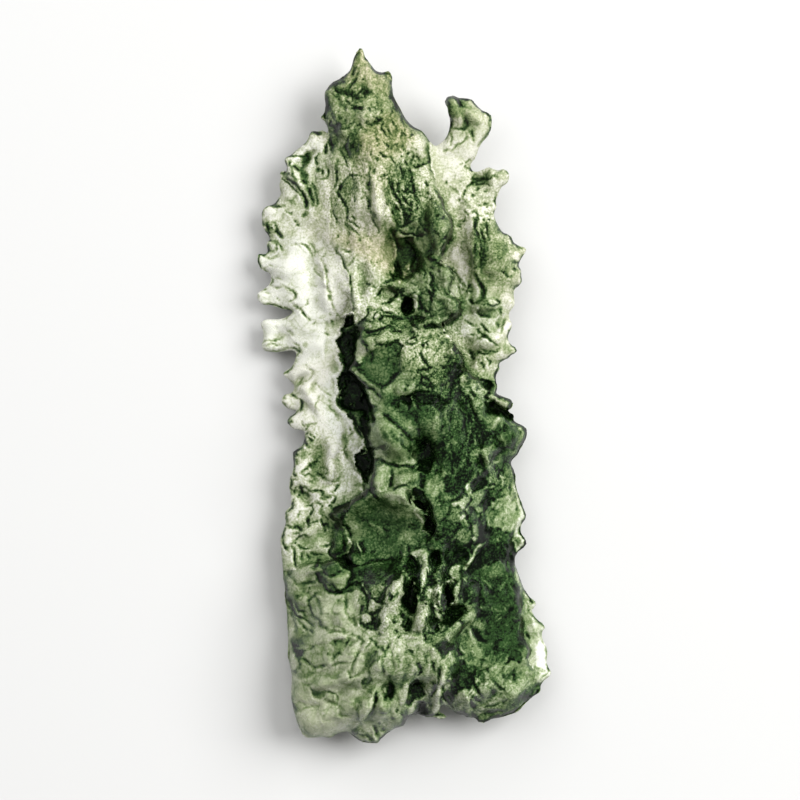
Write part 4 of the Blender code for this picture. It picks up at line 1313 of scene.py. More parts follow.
# a dark stroke is painted shade along a groove and a pale one a painted highlight along a ridge, each with a
# painted highlight and a painted shadow on its two sides
STROKES = strokes("""
# the top of the left wing
1.5/0.4 304,185 309,186 314,190 317.5,197 318,205 316,211; 325,165 328,171 328,177 325,180 320,180
1.5/0.55 261,216 262,211 265,207 270,205.5; 286,211 288,213 291,212 290,215; 271,222 272,230 273,234; 321,171
323,175; 338,162 336,169 337.5,176 337,184 336,189
1.5/0.7 281,176 284,180 290,186 295,190 299,195 302,199; 314,182 312.5,185 316,189.5
1.5/0.85 319,154 317,157 316.5,161 318,165
1.8/0.55 289.5,160 290.5,167; 274,222 277,228 280,236
1.8/0.7 294,221.5 297,222.5; 301,183 305,184 309,183
1.8/0.85 305,143 309,135 311.5,132 316,131.5; 290,156 293,157 300,156.5 303,157; 285,158 289,155.5 293,152.5;
291,167.5 294,167 296,169 299,171.5; 291.5,169 293,172 292.5,175 293,178 296,180.5 299,180.5; 285,160
286.5,166 287,170 285,172.5 281,172.5; 287.5,174.5 290,175; 284,175 289,180 294,184 298,188 302,193 305,198
307,203 308,208; 291,182 296,185; 271,206 274,204 277,200.5 278.5,198; 272,207 276,206 282,206 283.5,205;
297,226 299,226; 267,219 268,226 269,232; 264,230 267,234 270,240; 275,231 279,234; 279,236 282,238; 318,169
319,172
2.2/0.55 331,140 333,146 332,152
2.2/0.7 329,138 327,146 325,155
2.2/0.85 313,134 320,133; 263,222 266,226 268,231; 333,128 337,127 341,126
3/0.4 300,190 304,196 306.5,202 307,209
3/0.7 306,188.5 309,191 312,198 313.5,206
# its middle
1.5/0.25 264,268 269,265 276,267 284,269; 275,279 278,277.5 281,280; 258,297 257,293; 262,289.5 266,289.5;
264,292.5 269,292.5; 277,298 280,300; 291,244.5 296,245 301,249; 309,250 313,256; 329,292 332,294; 313,270
318,273 322,279 324,284; 262,350 272,351.5 284,350.5; 263,347 270,344 278,345 280,343; 274,328 279,328.5;
287,329 291,331 293,336; 283,319 288,317 292,313
1.5/0.4 263,269 266,271; 271,285.5 277,287 282,287; 285,302 290,301 293,301; 300,309 304,306.5 307.5,304
308,299; 310,243 315,249 317,252; 326,271 329,273; 330,299 333,305 336,311 340,318; 331,311 331.5,319
333,328; 283,349 292,348; 262,342 268,340 276,340 281,337
1.5/0.55 275,241 279,244 282,250; 269,285 272,282 271,278; 283,285.5 287,288 293,292 296,296 294,300 291,301;
312,324 314.5,321.5; 293,341 296,344 299,349 302,353
1.5/0.7 261,304 270,304 277,306 282,309 286,308 290,309.5 292,312
1.5/0.85 336,250 341,258 346,267 349,275 350,285 351.5,293 353,303 354,312; 292,348 296,349.5 299,351
1.8/0.25 265,257 270,259 276,257.5 281,256; 301,311.5 306,316
1.8/0.4 325,255 322.5,259 324,265 326,272 326,278 328,285 329,292 329,299
1.8/0.55 268,240 272,241 276,245 277,249 274,251 270,250.5; 328,295 330,299; 326,333 329,335
1.8/0.7 257,260 260,266 262,268; 291,303 295,306 299,310 302,313 305,316 309,320; 301,243.5 305,246 309,250
1.8/0.85 266.5,244 267,248 268,251; 257,262 257.5,256 259,254 264,254.5 268,251
# its lower teeth
1.5/0.25 295,367 302,366 306,368 310,370 313,371 312,376 309,380 305,381 302,384; 322,385 328,390; 311,402
317,398; 328,400 330,402
1.5/0.4 293,362 294.5,358; 304,364.5 309,367; 297,385 300,383.5 302,380 303,378; 316,384 320,387 325,391
329,395 332,397; 283,397 284,394; 282,402 285,406 288,408.5; 350,428 352,431; 330,406 331,410 334,412 336,416
338,419
1.5/0.55 297,355 299,351; 319,397 317,402 315,406 314.5,409; 291,395 296,398 300,400 302,402; 301,420 302,424
304,425.5 307,424.5 311,423 316,423; 302,430 305,428.5 309,425.5 315,423.5; 310,434 315,438; 305,434
304.5,440 302,446; 350,436 353,433 355,432
1.5/0.7 283,373.5 288,370.5 291,368.5 292.5,366
1.8/0.7 296,452 297,456
1.8/0.85 282.5,399 284,399; 297,411 294,415 290,418 288,419; 291,420 293,422; 306,432 307,434; 308,437
312,442; 294,451 298,450 302,448; 293,451 293.5,456
2.2/0.55 344,434 345,440 346,446 344,450 347,455 346,460
2.2/0.85 289,420 288,425 290,427; 304,441 307,444 310,447
2.2/1 301,400.5 303,404 302,407.5 300,410
1.5/-0.25 309,435.5 315,441
1.8/-0.4 352,315 345,316 343,324 338.5,333 333,340.5; 337,347 341,355 344,364 343,370 336.5,375 335,381
337.5,391 335,402; 340,411 349,419 353,427 356,432 362,438 364,444 355,454
# its foot
1.5/0.25 306,481 312,482
1.5/0.4 321,466 326,468 328,472; 340,476 337,480 333,481; 318,521 311,522; 288,535 293,532.5 298,533; 297,517
299,514 301,512; 307,555 309,558
1.5/0.55 296,459 298,462 297,465; 303,474 306,476 310,474 313,477; 324,474 328,474; 305,493 308,496 309,492;
305,506 309,505 312.5,504 313,508 311,512 310,515; 311,512 309.5,516; 321,518 322,524 325,530; 285.5,513
286,518 288,521; 295,540 299,537 304,534.5 308,537; 294,542 298,545 301,547; 300,548 306,549 311,548.5;
311,552 316,554 321,555; 322,545 328,545 332,543
1.5/0.7 290,478 291.5,482 290,488 291,494; 292,480 297,480.5; 293,494 294,491 296,490.5; 298,491 299,494
298,497; 308.5,522 308,527; 286,525 291,526.5 294,530; 294,525 296,529; 282,540 284,547 286,549; 323,571
330,574 336,573 341,569
1.5/0.85 293,473 296,477; 294,488 297,486; 297,526 300,530; 282,538 284,534 284.5,528
1.8/0.55 318,475 323,478 328,480.5 332,481; 316,502 320,502.5 323,505 321,509 323,512; 320,511 321,516;
302,552 302,559
1.8/0.7 310,464 313,467; 324,498 329,496.5 333,495; 285,512 288,511 292,508 294,503 294,500; 292,547 294,552
294,558 296,564 297,567
1.8/0.85 293,452 294,458 294,465 293,472; 300,484 301.5,487 306,487.5 308,488; 308,490 311,491 315,491;
315,491 321,491.5 323,494 322,498; 331,491 335,488.5 338,485; 332,502 334.5,499 335,495; 329,505 330,506;
323,525 326,524 328,526; 285,547 288,545 292,543; 319,559 318,563 315,566 312,567; 361,541 363,547 364,553
1.8/1 301,489 302.5,494; 331,542 332,546 330,551 331,554 336,558 341,562 346,566 351,568 353,572 352,578
2.2/0.85 319,571 321,576 322,580; 364,491 357,496 351,501 347,507 345,513 346,516
2.2/1 302,472 306,468 310,464 314,463 317,461; 308,518 308.5,521; 331,513 334,517 340,522 346,526 350,531
351.5,535
1.5/-0.55 349,537 350,541 348,544; 358,541 359.5,547 362,553
1.5/-0.4 345,552 348,549
1.5/-0.25 327,505 331,500 335,494 340,488
# the head of the spire
1.5/0.25 372,109 378,111
1.5/0.4 361,70 357,77 354,84; 330,92 334,97 338,100; 343,105 340,109; 355,125 348,128; 392,122 396,128
394,133; 401,120 404,126 408,129; 429,142 428.5,149 429,156
1.5/0.55 388,73 391,79; 339,101 341,103 340,106; 346,102.5 350,105 356,108; 351,110 354,109 354,111; 360,109
362,112 364,114; 379,123 382,121; 365,119 368,121; 357,127 360,128; 326,99 326,103; 331,110 333,116 335,121;
330,122 331,127; 326,122 329,128; 337,131 343,130.5 350,130; 383,124 381,130 384,134 386,138; 377,142 379,147
376,151; 384,143 388,148 386,153; 378,158 381,156; 391,150 394,147 397,147; 390,158 394,163 397,166; 372,152
371,157 374,161 378,164; 401,157 402,159; 406,163 406.5,165; 405,131 405.5,136; 417,158 420,161
1.5/0.7 362,73 363,73; 369,110 371,114; 380,112 382,116; 388,133 391,136; 391,92 391,100 394,105 397,109
396.5,112
1.5/0.85 364,91 361,94 358.5,96; 364,81.5 365,81.5; 403,150 404.5,151.5; 402,148 403,147; 404,117 408,122
411,125 417,129 422,132 427,138 429,142
1.8/0.25 353,144 352.5,150
1.8/0.4 360,60 357,66 355,71 352,77; 413,141 412,148 414,156 412,162 410,165
1.8/0.55 375,118 379,123 376,126; 368,127 373,127 377,125
1.8/0.7 355,80 352,85 349,90; 334,87 336,92 338,96; 338,122 337,126 341,128; 401,131 402,136 400,140
1.8/0.85 361,50 357,54 354.5,59 353,65 350,72 345,77 340,80.5 334,82.5 331,86 328,89; 365,59 368,62; 372,69
376,73 380,75 384,74.5 388,72; 364,96 365,99 366,101; 366,125 368,124; 322,117 326,114 329,110; 339,119
341,121; 380,155 383,158 387,160; 411,132 412,136 409,139 410,141; 429,158 429.5,162 428,164 422,166
416,168.5 412,167
1.8/1 401,153.5 402,153.5; 408,155 409.5,154; 415,150 416.5,150
2.2/0.85 334,86 339,85 345,83
2.2/1 335,130 337,131 335,133
3/0.4 427,150 427,158 422,163 416,166
4.5/0.55 337,92 345,94 352,96 358,99 364,101
# the flanks of the spire
1.5/0.4 342,145 342,152 344,158 347,164 349,170; 345,248 348,244; 334,212 335,218 338,225
1.5/0.55 350,176.5 355,176 361,178; 352,217 356,222; 354,199 355,203; 338,238 340,236; 373,172 375,176;
376,160 379,165; 386,203 388,207; 391,212 394,216; 392,218 395,224 398,228; 409,168 411,176 413,186 415,196
416.5,206 415,216; 396,186 398,192 399,198; 419,220 421,226 423,230; 420,229 418,233
1.5/0.7 381,176 382,180; 397,229 402,228 406,227
1.5/0.85 361,199 362,199; 416,236 421,237 428,234.5
1.8/0.55 349,177 345,181 341,187 338,193 340,198 344,204 347,209 348,216 346,224 349,232 350,238; 349,226
353,232 359,236 362,240; 342,250 346,252 350,254 352,252; 358,255 355,259 350,265; 371,217 373,222 376,228
379,235; 400,165 402,172 402,180; 403,193 407,195 411,193 414,197
1.8/0.7 350,222 354,224 358,230; 359,239 360,243; 371,213 374,217 376,220; 405,210 410,212 415,211
1.8/0.85 384,177 386,177; 389,181 391,186 392,192 395,198 399,203 402,210 404,217 405,223 403,228; 403,200
406,203 409,207; 412,203 412,208; 405,215 408,221 406,226 411,223 415,218; 396,232 400,233 405,235 411,234
416,236; 391,231 394,236 396,240; 390.5,240 391.5,240; 424,231 426,232
2.2/0.55 369,166 370,172 368,178 370,184 369,190 371,196
2.2/0.7 368,199 369,205 368,211 370,213
4.5/0.25 388,192 392,202 395,212 398,222 401,228
1.5/-0.55 413.5,216 414.5,216; 427,231.5 428,232
1.5/-0.4 402,186 404,192; 400,236.5 407,237.5 414,236.5
1.5/-0.25 374,168 378,174 382,179
# the right shoulder of the spire
1.5/0.55 433,213 436,218 440,217; 434,232 437,236
1.5/0.7 431,199 432,201
1.5/0.85 427,195 429,196
1.8/0.55 443,245 441,250 442,256
1.8/0.7 433,190 438,197 442,202 444,208; 441,243 445,240 448,242
1.8/0.85 424.5,184 426,187; 445,210 449,216 452,224 452,232 450,241 446,247 443,252 441,260
# the chasm
1.8/0.55 404,268 407,272 411,272
1.8/0.85 391,273 393,278 392,281 388,283 384,284; 400,279 402,282
3/0.6 396,262 397,270 399,277
2.5/0.6 415,255 418,261 420,268 420,275
1.8/-0.55 407,262 408,270
1.8/-0.25 421,268 422,276 423,284
2.2/-0.25 417,242 420,250 423,258 425,262
# the flat beside it
1.5/0.4 377,262 378,266
1.5/0.55 366,282 370,286 375,288; 371,263 374,267
1.5/0.7 380,269.5 381,269.5
1.5/0.85 377,270 378,270
# the hooked lobe
1.5/0.55 438,270 440,274
1.8/0.55 422,268 424,274 423,281; 442,290 446,296 452,300
1.8/0.85 428,259 434,262 441,265 448,268 453,272 454,277 451,285 448,292; 430,268 433,269; 429,274 432,280
430,286 433,291
2.2/0.85 428,292 432,297
3/0.4 429,262 436,266 443,268
# the nested chevrons
1.5/0.7 397,289 400,293 402,297; 380,286 382,290 379,295 375,299
1.5/0.85 402,289 404,292; 387,286 392,290 396,294.5 393,299 389,301
1.5/0.6 400,296 406,298 410,297 414,294
1.5/-0.25 394,286 399,283 402,281
1.8/-0.25 413,297 418,293 420,297
# in the black hollows
1.5/-0.55 345,329 350,327 355,325; 341,356 343,355
1.5/-0.4 341,343 343,346; 341,380 344,383 344,390 341,394
1.5/-0.25 340,393 344,397; 340,403 344,405; 348,404 350,401
1.8/-0.55 354,393 352,399 354,404 355,408; 373,469 371,475 369,478
1.8/-0.4 343,351 347,354 351,359 351,364
2.2/-0.55 353,412 357,418 360,424 361,429
# the ridges under the flat
1.5/0.4 362,321 370,322 376,324
1.5/0.55 378,309 384,312 391,315; 375,340 379,345; 392,329 398,331
1.5/0.7 391,333 397,331 401,333
1.5/0.85 369,308 367,315 363,321 358,324 354,328; 374,320 374,316 377,313.5 380,315; 384,317 390,318 396,319
401,320; 417,300 419,305 419,296; 363,341 367,346 368,352; 387.5,342 388.5,342
1.8/0.85 360,328 366,331 369,333 374,331 380,330 385,328 389,326; 381,316 382,319 380,321; 397.5,309
398.5,309
1.5/0.6 384,305 390,302 394,300
2.2/0.85 398,341 393,343 388,345; 376,347 379,345.5 386,344.5
# the lower hooked lobe
1.8/0.55 434,292 432,300
1.8/0.7 444,324 449,320; 432,296 430,303
1.8/0.85 461,303 461,311 457,318 450,324 444,326; 446,330 448,332 445,334; 405,316 410,320 414,326 418,330
2.2/0.55 447,318 452,315 456,317
2.2/0.85 418,308 424,311 427,313
# the granular patch
1.5/0.55 411,332 413,336 411,339 415,338 417,342
1.5/0.7 426,343 427,347
1.8/0.85 420,354 422,359 425,363 429,367; 453,344 453,349 455,354; 444.5,357 445.5,357; 406,343 411,344
415,343
1.8/1 421,347 424,344
# the kite and its planes
1.5/0.4 382,389 389,381 397,374
1.5/0.55 440,379 444,377 448,375
1.5/0.7 364,377 372,382 381,388; 421,374 422,379 421,384; 424,376 427,381
1.5/0.85 352,374 358,378 366,385 374,391 380,397; 369,403 373,406 377,408; 431,383 432,390; 458,374 457,381
458,388 461,393 466,397 470,401
1.8/0.25 372,352 373,358 371,365
1.8/0.7 418,403 424,402 430,404; 416,403 418,408; 444,371 450,374
1.8/0.85 360,364 354,367 349,372; 391,405 396,400 400,399; 408,404 409,408; 441,368 448,367 455,369; 452,371
456,376 452,379; 471,391 474,395 475,397
1.8/1 407,386 409,385; 404,390 406,389; 417,372 421,370 427,369 431,368
2.2/1 417,386 424,385 429,386
3/0.4 451,378 452,385 450,390
3/1 404,399 412,396.5 420,396 430,397 438,399 444,402
1.5/-0.4 349,371 354,368; 353,373 359,377
# the leaf lobe
1.5/0.55 381,429 387,436 390,440; 390,431 394,436 397,440; 400,438 404,445 408,450; 400,434 402,436; 374,450
381,449 387,446 389,443
1.5/0.7 393,489 398,485 404,484 410,486
1.5/0.85 371,491 375,495 379,498
1.8/0.7 373,414 374,421 373,427; 408,456 409,459
1.8/0.85 383,413 389,418 396,424 404,432 411,439; 371,448 376,449 381,447 385,444; 372,463 376,459 381,458
386,462 394,465 403,465 412,467 417,463 419,460; 373,466 373,474 372,482 370,489; 390,470 393,474 391,479
391,485
1.5/-0.4 386,446 388,443
1.5/-0.25 412,441 416,448 418,455
1.8/-0.4 414,510 419,516 424,524 428,532
# the right side of the body
1.5/0.55 463,510 466,506
1.5/0.85 443,427 444,424; 470,400 472,408 474,416 477,424
1.8/0.85 442,450 443,455; 477,424 472,432 470,438 470,445; 476,436 478,442; 480,452 482,462 485,470 487,474;
444,540 447,536
1.8/1 439,446 443,446; 450,500 457,498 461,495
2.2/0.85 481,434 482,440 481,446
2.2/1 473,492 477,488 482,485
3/0.55 468,462 462,470 456,478 452,486
3/0.7 447,482 446,489 452,492 458,484 464,474
1.5/-0.4 443,503 447,501; 438,506 440,502
1.8/-0.55 464,490 468,483 472,480
1.8/-0.4 452,538 458,530 465,526 470,524
# on the wing beside it
1.5/0.25 470,349 473,354
1.5/0.55 465,321 469,324 472,326; 471,333 474,336
# the bowl
1.5/0.4 400,550 401,556
1.5/0.55 371,552 375,549; 360,571 364,576; 345,588 351,583 356,580; 385,593 388,590; 426,566 427,574 425,581;
436,538 440,536 444,533; 440,543 445,541; 437,548 442,552 448,556
1.5/0.7 371,595 377,598 384,599
1.5/0.85 363,580 370,580 378,580; 438,590 437,593
1.8/0.55 354,566 361,564 367,561 372,558 380,559 386,557 391,556 394,559
1.8/0.7 408,545 409,550
1.8/0.85 352,577 348,583 343,588 337,590.5 330,590; 383,582 388,577 395,572 399,570; 366,583 369,587 371,592;
361,586 366,592 370,597; 395,589 397,588 396,592; 424,584 423,590; 443,590 442,598
1.8/1 389,591 392,594 390,597
2.2/1 404,563 407,567 410,572 415,577 418,582 419,590
3/1 373,487 368,491 362,495 357,498 351,502 347,507 343,514 341,518
1.5/-0.4 412,552 416,557 419,562
1.8/-0.55 363,583 367,587 370,590
1.8/-0.25 370,523 376,526 383,530; 404,552 402,558 403,562
# the horn
1.5/0.25 489,122 490,130 486,136 481,141 477,146
1.5/0.4 452,130 458,130 465,131; 468,131 471,136; 450,132 452,140 451,147; 451,151 455,149 458,145 463,143
467,139
1.5/0.55 447,100 449,110 450,118 451,124 450,130 447,136 445,140; 458,103 462,109; 451,121 452.5,128; 471,131
472,137 473,142; 443,151 449,150
1.5/0.85 446,98.5 452,99 458,100 466,100 471,101 474,105 477,109 481,112 486,113 489,117 489.5,121; 453,100
457,104 460,107
3/0.4 465,120 466,126 463,130
# the top of the right wing
1.5/0.4 467,170 466,166; 452,187 456,191 458,195; 485,213 490,214
1.5/0.55 460,165 463,164; 466,163 469,160; 494,176.5 497,180; 482,185 490,186; 446,181 447,184; 495,197
495,203 497,207; 478,206 481,206; 470,213 476,212 479,216; 494,212 496,218; 463,222 464,218; 477,215 478,222
1.5/0.7 506,171 508,174; 465,210 467,214 468.5,218; 483,221 484,219; 487,221 489,222
1.5/0.85 486,208 487,208
1.8/0.4 463,203 467,207 471,208
1.8/0.55 462,198 465,193 468,188; 458,226 460,223 461,228
1.8/0.7 477,191 479,189
1.8/0.85 484,181 488,180 491,177.5 494,176.5; 468,187 472,184 478,184 482,184.5; 471.5,195.5 473,197;
430.5,172 431.5,172; 483,205 485,205; 487,204 488,205
1.8/1 469.5,169 472,170; 458.5,200 459.5,200
2.2/0.7 484,194 487,192
2.2/0.85 474,218 476,224 475,230
2.2/1 472,179.5 478,179.5 484,179.5
# the middle of the right wing
1.5/0.4 462,289 466,294; 455,272 458,277 461,283 462,290; 457,281 459,288 460,296 461,300; 502,272 506,275
1.5/0.55 468,282 470,286; 481,230 483,238 485,244; 486,226 487,233 488,241; 506,277 511,278; 500,230 504,234
509,234 510,240 514,244 520,247 526,249; 522,255 519,261 518,265 521,270 521,277 521,283 514,289
1.8/0.55 474,246 472,255; 473,268 477,267; 463,284 467,288 471,284; 466,290 470,292
1.8/0.7 513,262 516,262
1.8/0.85 477,232 478,236; 480,247 481,250; 470,300 473,305 477,302; 512,269 515,270
3/0.85 473,272 476,279 480,285 483,292 482,300 479,304
4.5/0.55 475,220 475,232 474,245 474,258 474,270
# its lower part
1.5/0.4 496,322 498,328; 479,361 479,367
1.5/0.55 496,300 500,304; 479,348 486,351 494,352 499,349; 474,355 478,351 484,354 490,355; 468,349 472,354
473,360; 512,327 508,331 508,340; 487,359 491,362 489,366; 498,362 498,368 495,375 496,385 496,392
1.5/0.7 480,323 484,328 489,332; 477,329 480,333 484,337 488,340 493,343 498,346; 509,343 513,347 516.5,351
512,354 506,359 500,362
1.5/0.85 482,305 486,309
1.8/0.55 504,320 502,326 500,333
1.8/0.7 480,308 478,313 482,316 488,317
1.8/0.85 484,302 488,306 493,306 498,305; 499,309 500,314; 482,363 483,367
2.2/0.85 479,338 485,336 488,340
# the opening and the finger
1.5/0.55 473,382 477,387; 474,388 478,390
1.8/0.85 491,384 489,389 488,394; 506,400 511.5,401.5 508,408; 508,410 512,415 512.5,421
1.8/1 476,377 480,379 486,380 492,382; 470,391 473,395 475,397.5; 486,396 488,399
2.2/1 493,395 497,397 500,398
1.8/-0.4 502,414 506,418 511,417
# the dark lobes under it
1.5/0.55 493,466 496,470
1.5/0.7 500,448 506,447.5 512,448; 488,456 490,459
1.8/0.4 511,430 512,437 514,445
1.8/0.85 513,421 519,424 524,427 526.5,434 524,441 520,448 518,454 513,458 510.5,462 513,470 515,477
2.2/0.85 481,466 484,472 487,475
1.5/-0.4 489,448 492,445 494,441; 500,474 504,478
1.5/-0.25 499,415 494,419; 503,430 500,436 499,441; 505,476 510,478
1.8/-0.55 501,412 497,418 494,423 492,427; 500,424 502,428; 493,434 497,438; 500,436 503,442 505,448
# the right side above the lower bowl
1.5/0.25 456,568 453,572 457,576
1.5/0.4 463,492 467,496; 501,522 503,524; 490,526 489,530
1.5/0.55 470,494 470,500 466,506; 500,470 499,478; 505,476 509,477; 485,523 486,530; 478,510 480,516 480,520;
514,470 515.5,478 517,487 520,499 523,508 526,517 521,524 520,530 522,536 526,541; 512,538 516,537 521,541;
514,562 518,571 521,579 524,588 529,596 532,603
1.5/0.7 526,542 520,549 516,555
1.5/0.85 459,511.5 461,512; 466,556 467,560
1.8/0.55 510,484 509.5,495; 449,530 456,530.5 461,527 466,526; 466,571.5 471,566.5 476,557.5 482,549 488,542;
510,556 510.5,564 513,571
1.8/0.7 440,500 448,501 455,499 460,494.5 463,489; 484,505 484,510; 464,511 466,516 468,521 471,528; 511,584
514,589 517,592
1.8/0.85 472,492 476,490 480,488; 492,498 495,501; 505,532.5 509,533; 466,543 468,547; 448,566 447,572
444,578
1.8/1 496,527.5 499,528 500.5,530
2.2/0.4 461,473 457,482 452,490
2.2/0.85 470,541 475,543 480,539 484,539; 497,541 501,546 505,550
2.2/1 508.5,549.5 513,550 514.5,556 514.5,562; 452.5,583.5 457,578.5
3/0.25 517,504 517.5,512 516,519
1.5/-0.55 464,489 466,484 471,480.5; 482,488 487,486; 501,474 502,479 501,484; 467,549 470,556; 496,538.5
501,543.5 506,549
1.5/-0.4 488,489 494,485.5; 488,471 489,477 491,482; 480,571 482,577 486,583 490,588; 480,570 483,566
487,563; 500,561.5 504,564.5 506,568; 510,562 512,568 515,576 517,581
1.5/-0.25 485,511 490,506 495,501.5 501,499 508,496.5; 487,519 488,526; 482,512 481,520 483,527; 501,538
508,541; 484,590 486,600; 470,592 475,590
1.5/-0.15 499,551 500,558
1.8/-0.15 510,500 506,507 505,514
# the middle below the bowls
1.5/0.4 422,602 424,604
1.5/0.55 387,610 389,612; 392,615 394,619; 384,600 387,603; 429,577 432,580; 437,594 438,597; 461,620 462,626
459,633; 424,628 429,629 434,630
1.5/0.7 395,626 397,629
1.5/0.85 436,601 438,605; 440,608 441.5,612
1.8/0.55 424,611 426,616
1.8/0.7 383,626 386,627
1.8/0.85 410,618 410,626; 423,584 423.5,589; 425.5,583 428,580.5; 451.5,584 451,592 452,599; 440,628 446,624
452,618 457,613 463,610.5; 459,618.5 461,619
2.2/0.85 411,603 413,608; 442.5,592 443,602 445,608
2.2/1 389.5,589 391.5,593 391,597; 404,564 408,569 413,575 417.5,579 418,586 419.5,592 420.5,597
3/0.55 472,626 477,631 478,638
1.5/-0.85 430,622 431.5,627
1.5/-0.7 411,610 411,615
1.5/-0.55 441,562 437,566 434,571; 426,562 428,568 430,572.5; 446,633 449,638
1.5/-0.4 412,597 416,601; 404,603 408,609; 404,622 407,618; 438,621 442,625
1.8/-0.55 432,595 435,604 437,611 440,618 444,623
1.8/-0.4 473,617 468,622 463,628 460,633
# the lower bowl
1.5/0.4 464,628 467,634; 503,670 503,676
1.5/0.55 478.5,668 477,676; 486,667 489,671
1.8/0.55 456,640 458,647 462,653
1.8/0.7 467,681 470,686
2.2/0.55 472,625 474,632 479,637 485,640
2.2/0.85 470,673 472,678 474,685
2.2/1 528,645 530.5,650 530,654 526,657
1.5/-0.55 459,643 461,648 464,652
1.5/-0.4 494.5,618 496,614 499.5,613; 501,616 497,619; 479,607 483,605; 471,648 474,653; 477,667 475,674
476,680; 480,669 478,676 479,682; 482,668 487,673
1.5/-0.25 504,618 507,625; 511,616 515,619; 469,645 472,641; 519,655 524,651 527,649
# the lower right of the base
1.5/0.15 527,602 531,618
1.5/0.25 502,690 507,693; 541,631 542,640 546,647 547.5,653; 463,696 464,702
1.5/0.4 489,684 492,690 494.5,694; 510,656 515,660; 547,648 546,653 545.5,660; 540,679 548,672; 526,590
531,600 535,604; 531,612 536,619 544,627
1.5/0.55 512,672 515,679; 518,659 519,663; 457,691 460,686 465,686; 456,711 463,713 468,716
1.5/0.85 505,661.5 508.5,659
1.8/0.55 486,705.5 492,705 497,703
1.8/0.85 547,663 548.5,670; 519,594 520.5,604 521,614 521.5,624 523,631 525.5,638 528,643; 526.5,632
528.5,638
2.2/0.7 491,675 495,681 500,686 504,688; 471,694 476,697 480,701; 469.5,697 472,704 474,707
2.2/0.85 475,684 478,689 481,694
2.2/1 474,716 479,721 484,722 490,718 497,716 502,716 508,713 514,712 520,709 526,702 532,697 538,693
540.5,690 540.5,684
4.5/0.25 520,697 527,700
1.5/-0.55 522.5,631 526.5,639 531,645
1.5/-0.4 458,698 459,690 464,687.5
1.5/-0.25 498,680 504,685; 474,681 478,684 481,690; 485,675 484,682; 516,668 517,674; 530,612 534,625 539,641
1.8/-0.55 505,659 507,655
1.8/-0.4 525,671 530,677
1.8/-0.15 487,702 496,701; 512,688 518,683
# the plates at the left of the base
1.5/0.25 332,606 334,611 346,612; 322,611 331,612; 338,597 338,601
1.5/0.4 329,630 340,629.5 349,629; 359.5,596 360,600; 354,612 355,618 358,624
1.5/0.55 309,590 307,592; 285,582 286,590 285,598 287,606; 298,596 301,594; 305,613 305.5,616.5 309,617;
303,631 306,630 308,632
1.5/0.7 287.5,607 292,611 296,614; 291,613 297,618 303,623 308,628 313,631; 325,578 330,583 333,588;
300,641.5 306,642.5 313,643 315,644 311,647 306,649
1.8/0.4 345.5,592 347,598 346,604 346,611 351,617 356,621
1.8/0.55 297.5,592 298,599; 315,596 319,600 321,606 322,611; 343.5,625 345,629; 359,617 362,620 366,623
371,625 376,625
1.8/0.7 288,573 292,577 296,582 300,584; 300,583.5 308,582.5 316,581 320,577; 321,624 326,625 329.5,630;
366,608 372,609 378,608 381,604; 371.5,610 373.5,615 372,620 367,621.5 363,619.5 361,615
1.8/0.85 311,629 313.5,631.5; 307.5,600 312,596 318,591.5; 331,580 335,586 340,590; 362,600 363.5,605
361,608; 375,598 381,599.5
1.8/1 293.5,644 295,651 297,655 300,657 301.5,661 301,667
2.2/0.85 317,571 319,576 320.5,580; 308,600 311,606 312.5,612 315,616; 317,616 319.5,619 321,624; 294,644
300,644.5
2.2/1 286.5,596 290,600 292,606 296,612 300,617 305,619 309,621 312.5,624; 296.5,602 297.5,607 300,610
304,611.5; 320,578 325,583 329,588 334,590.5 340,591.5 346,590.5 352,588
1.5/-0.55 363,583 366,588 369,593; 296,622 299,626; 304,628 307,632
1.5/-0.4 293,603 295.5,609 300,614 306,617; 291,611 298,617 306,622 312,626; 323,579 328,585 331,588; 328,579
334,587; 299,645.5 304,645
# the wedge on the base and the lumps beside it
1.5/0.25 387,634 391,638
1.5/0.4 351,655 354,653
1.5/0.55 320,640 322,641.5; 340,650.5 343.5,651; 349,650 354,649; 350,641.5 353,638
1.5/0.7 352,631 349,632
1.8/0.25 329,644 331,650
1.8/0.55 336,638 337,641; 322,665 326,662; 333,660 341,660 347,659.5; 359,647 357,654 354,662 351,668;
364,645 369,641 371,636; 380,652 374,657 370,663 369,668; 383,653 382,660 384,668; 388.5,640 387,646;
396,634.5 399.5,631; 379,629 380,632
1.8/0.7 340,649 336,653 332.5,656.5; 327.5,652 330.5,653; 332,662 336,662.5; 353,631.5 359,633 363,637
361,641
1.8/0.85 353,632 350,637 347,643; 303,656 308,661 313,665.5 319,665 325,663 328,661
2.2/0.7 370,635 375,638 378,643; 381,643 384.5,647 384,651 380,651.5
1.8/-0.15 363,631 367,629 372,628
# the foot of the base
1.5/0.55 292,697 298,700 304,702 308,704; 338,714 345,713 351,713; 366,684 370,688 375,688; 365,718 369,716;
381,711 384,709 384,712; 397,705 396,710; 424,631 425,636; 414,670 416,666; 432,658 434,660; 310,683 313,690
315,696 321,696 325,697; 300,711 302,709 307,706 312,704 320,704; 396,705 397,709; 308,736 320,736 331,736
338,733 345,731 350,731; 379,725 382,726
1.5/0.4 340,702 345,708; 361,704 362,698; 340,680 345,677 350,673 356,671 361,668; 347,725 352,723; 412,673
414,667; 436,672 438,676 437,680; 463,660 466,664; 452,693 455,690
1.5/0.25 323,714 324,718 330,717; 398,650 399,660; 406,640 405,650; 424,650 427,660
1.8/0.7 325,695 327,698 331,700 337,701 338,694 336,690 330,689; 348,667 349,671 350,674; 391,715 393,718;
295,715 298,722 301,727 304,733 308,736; 360,697 358,704 357,711 358,716 361,721; 361,728 363,731; 364,741
370,742 376,743 380,740 386,735 392,730; 382,728 384,731; 435,685 432,690 431,694; 416,713 422,715 427,717
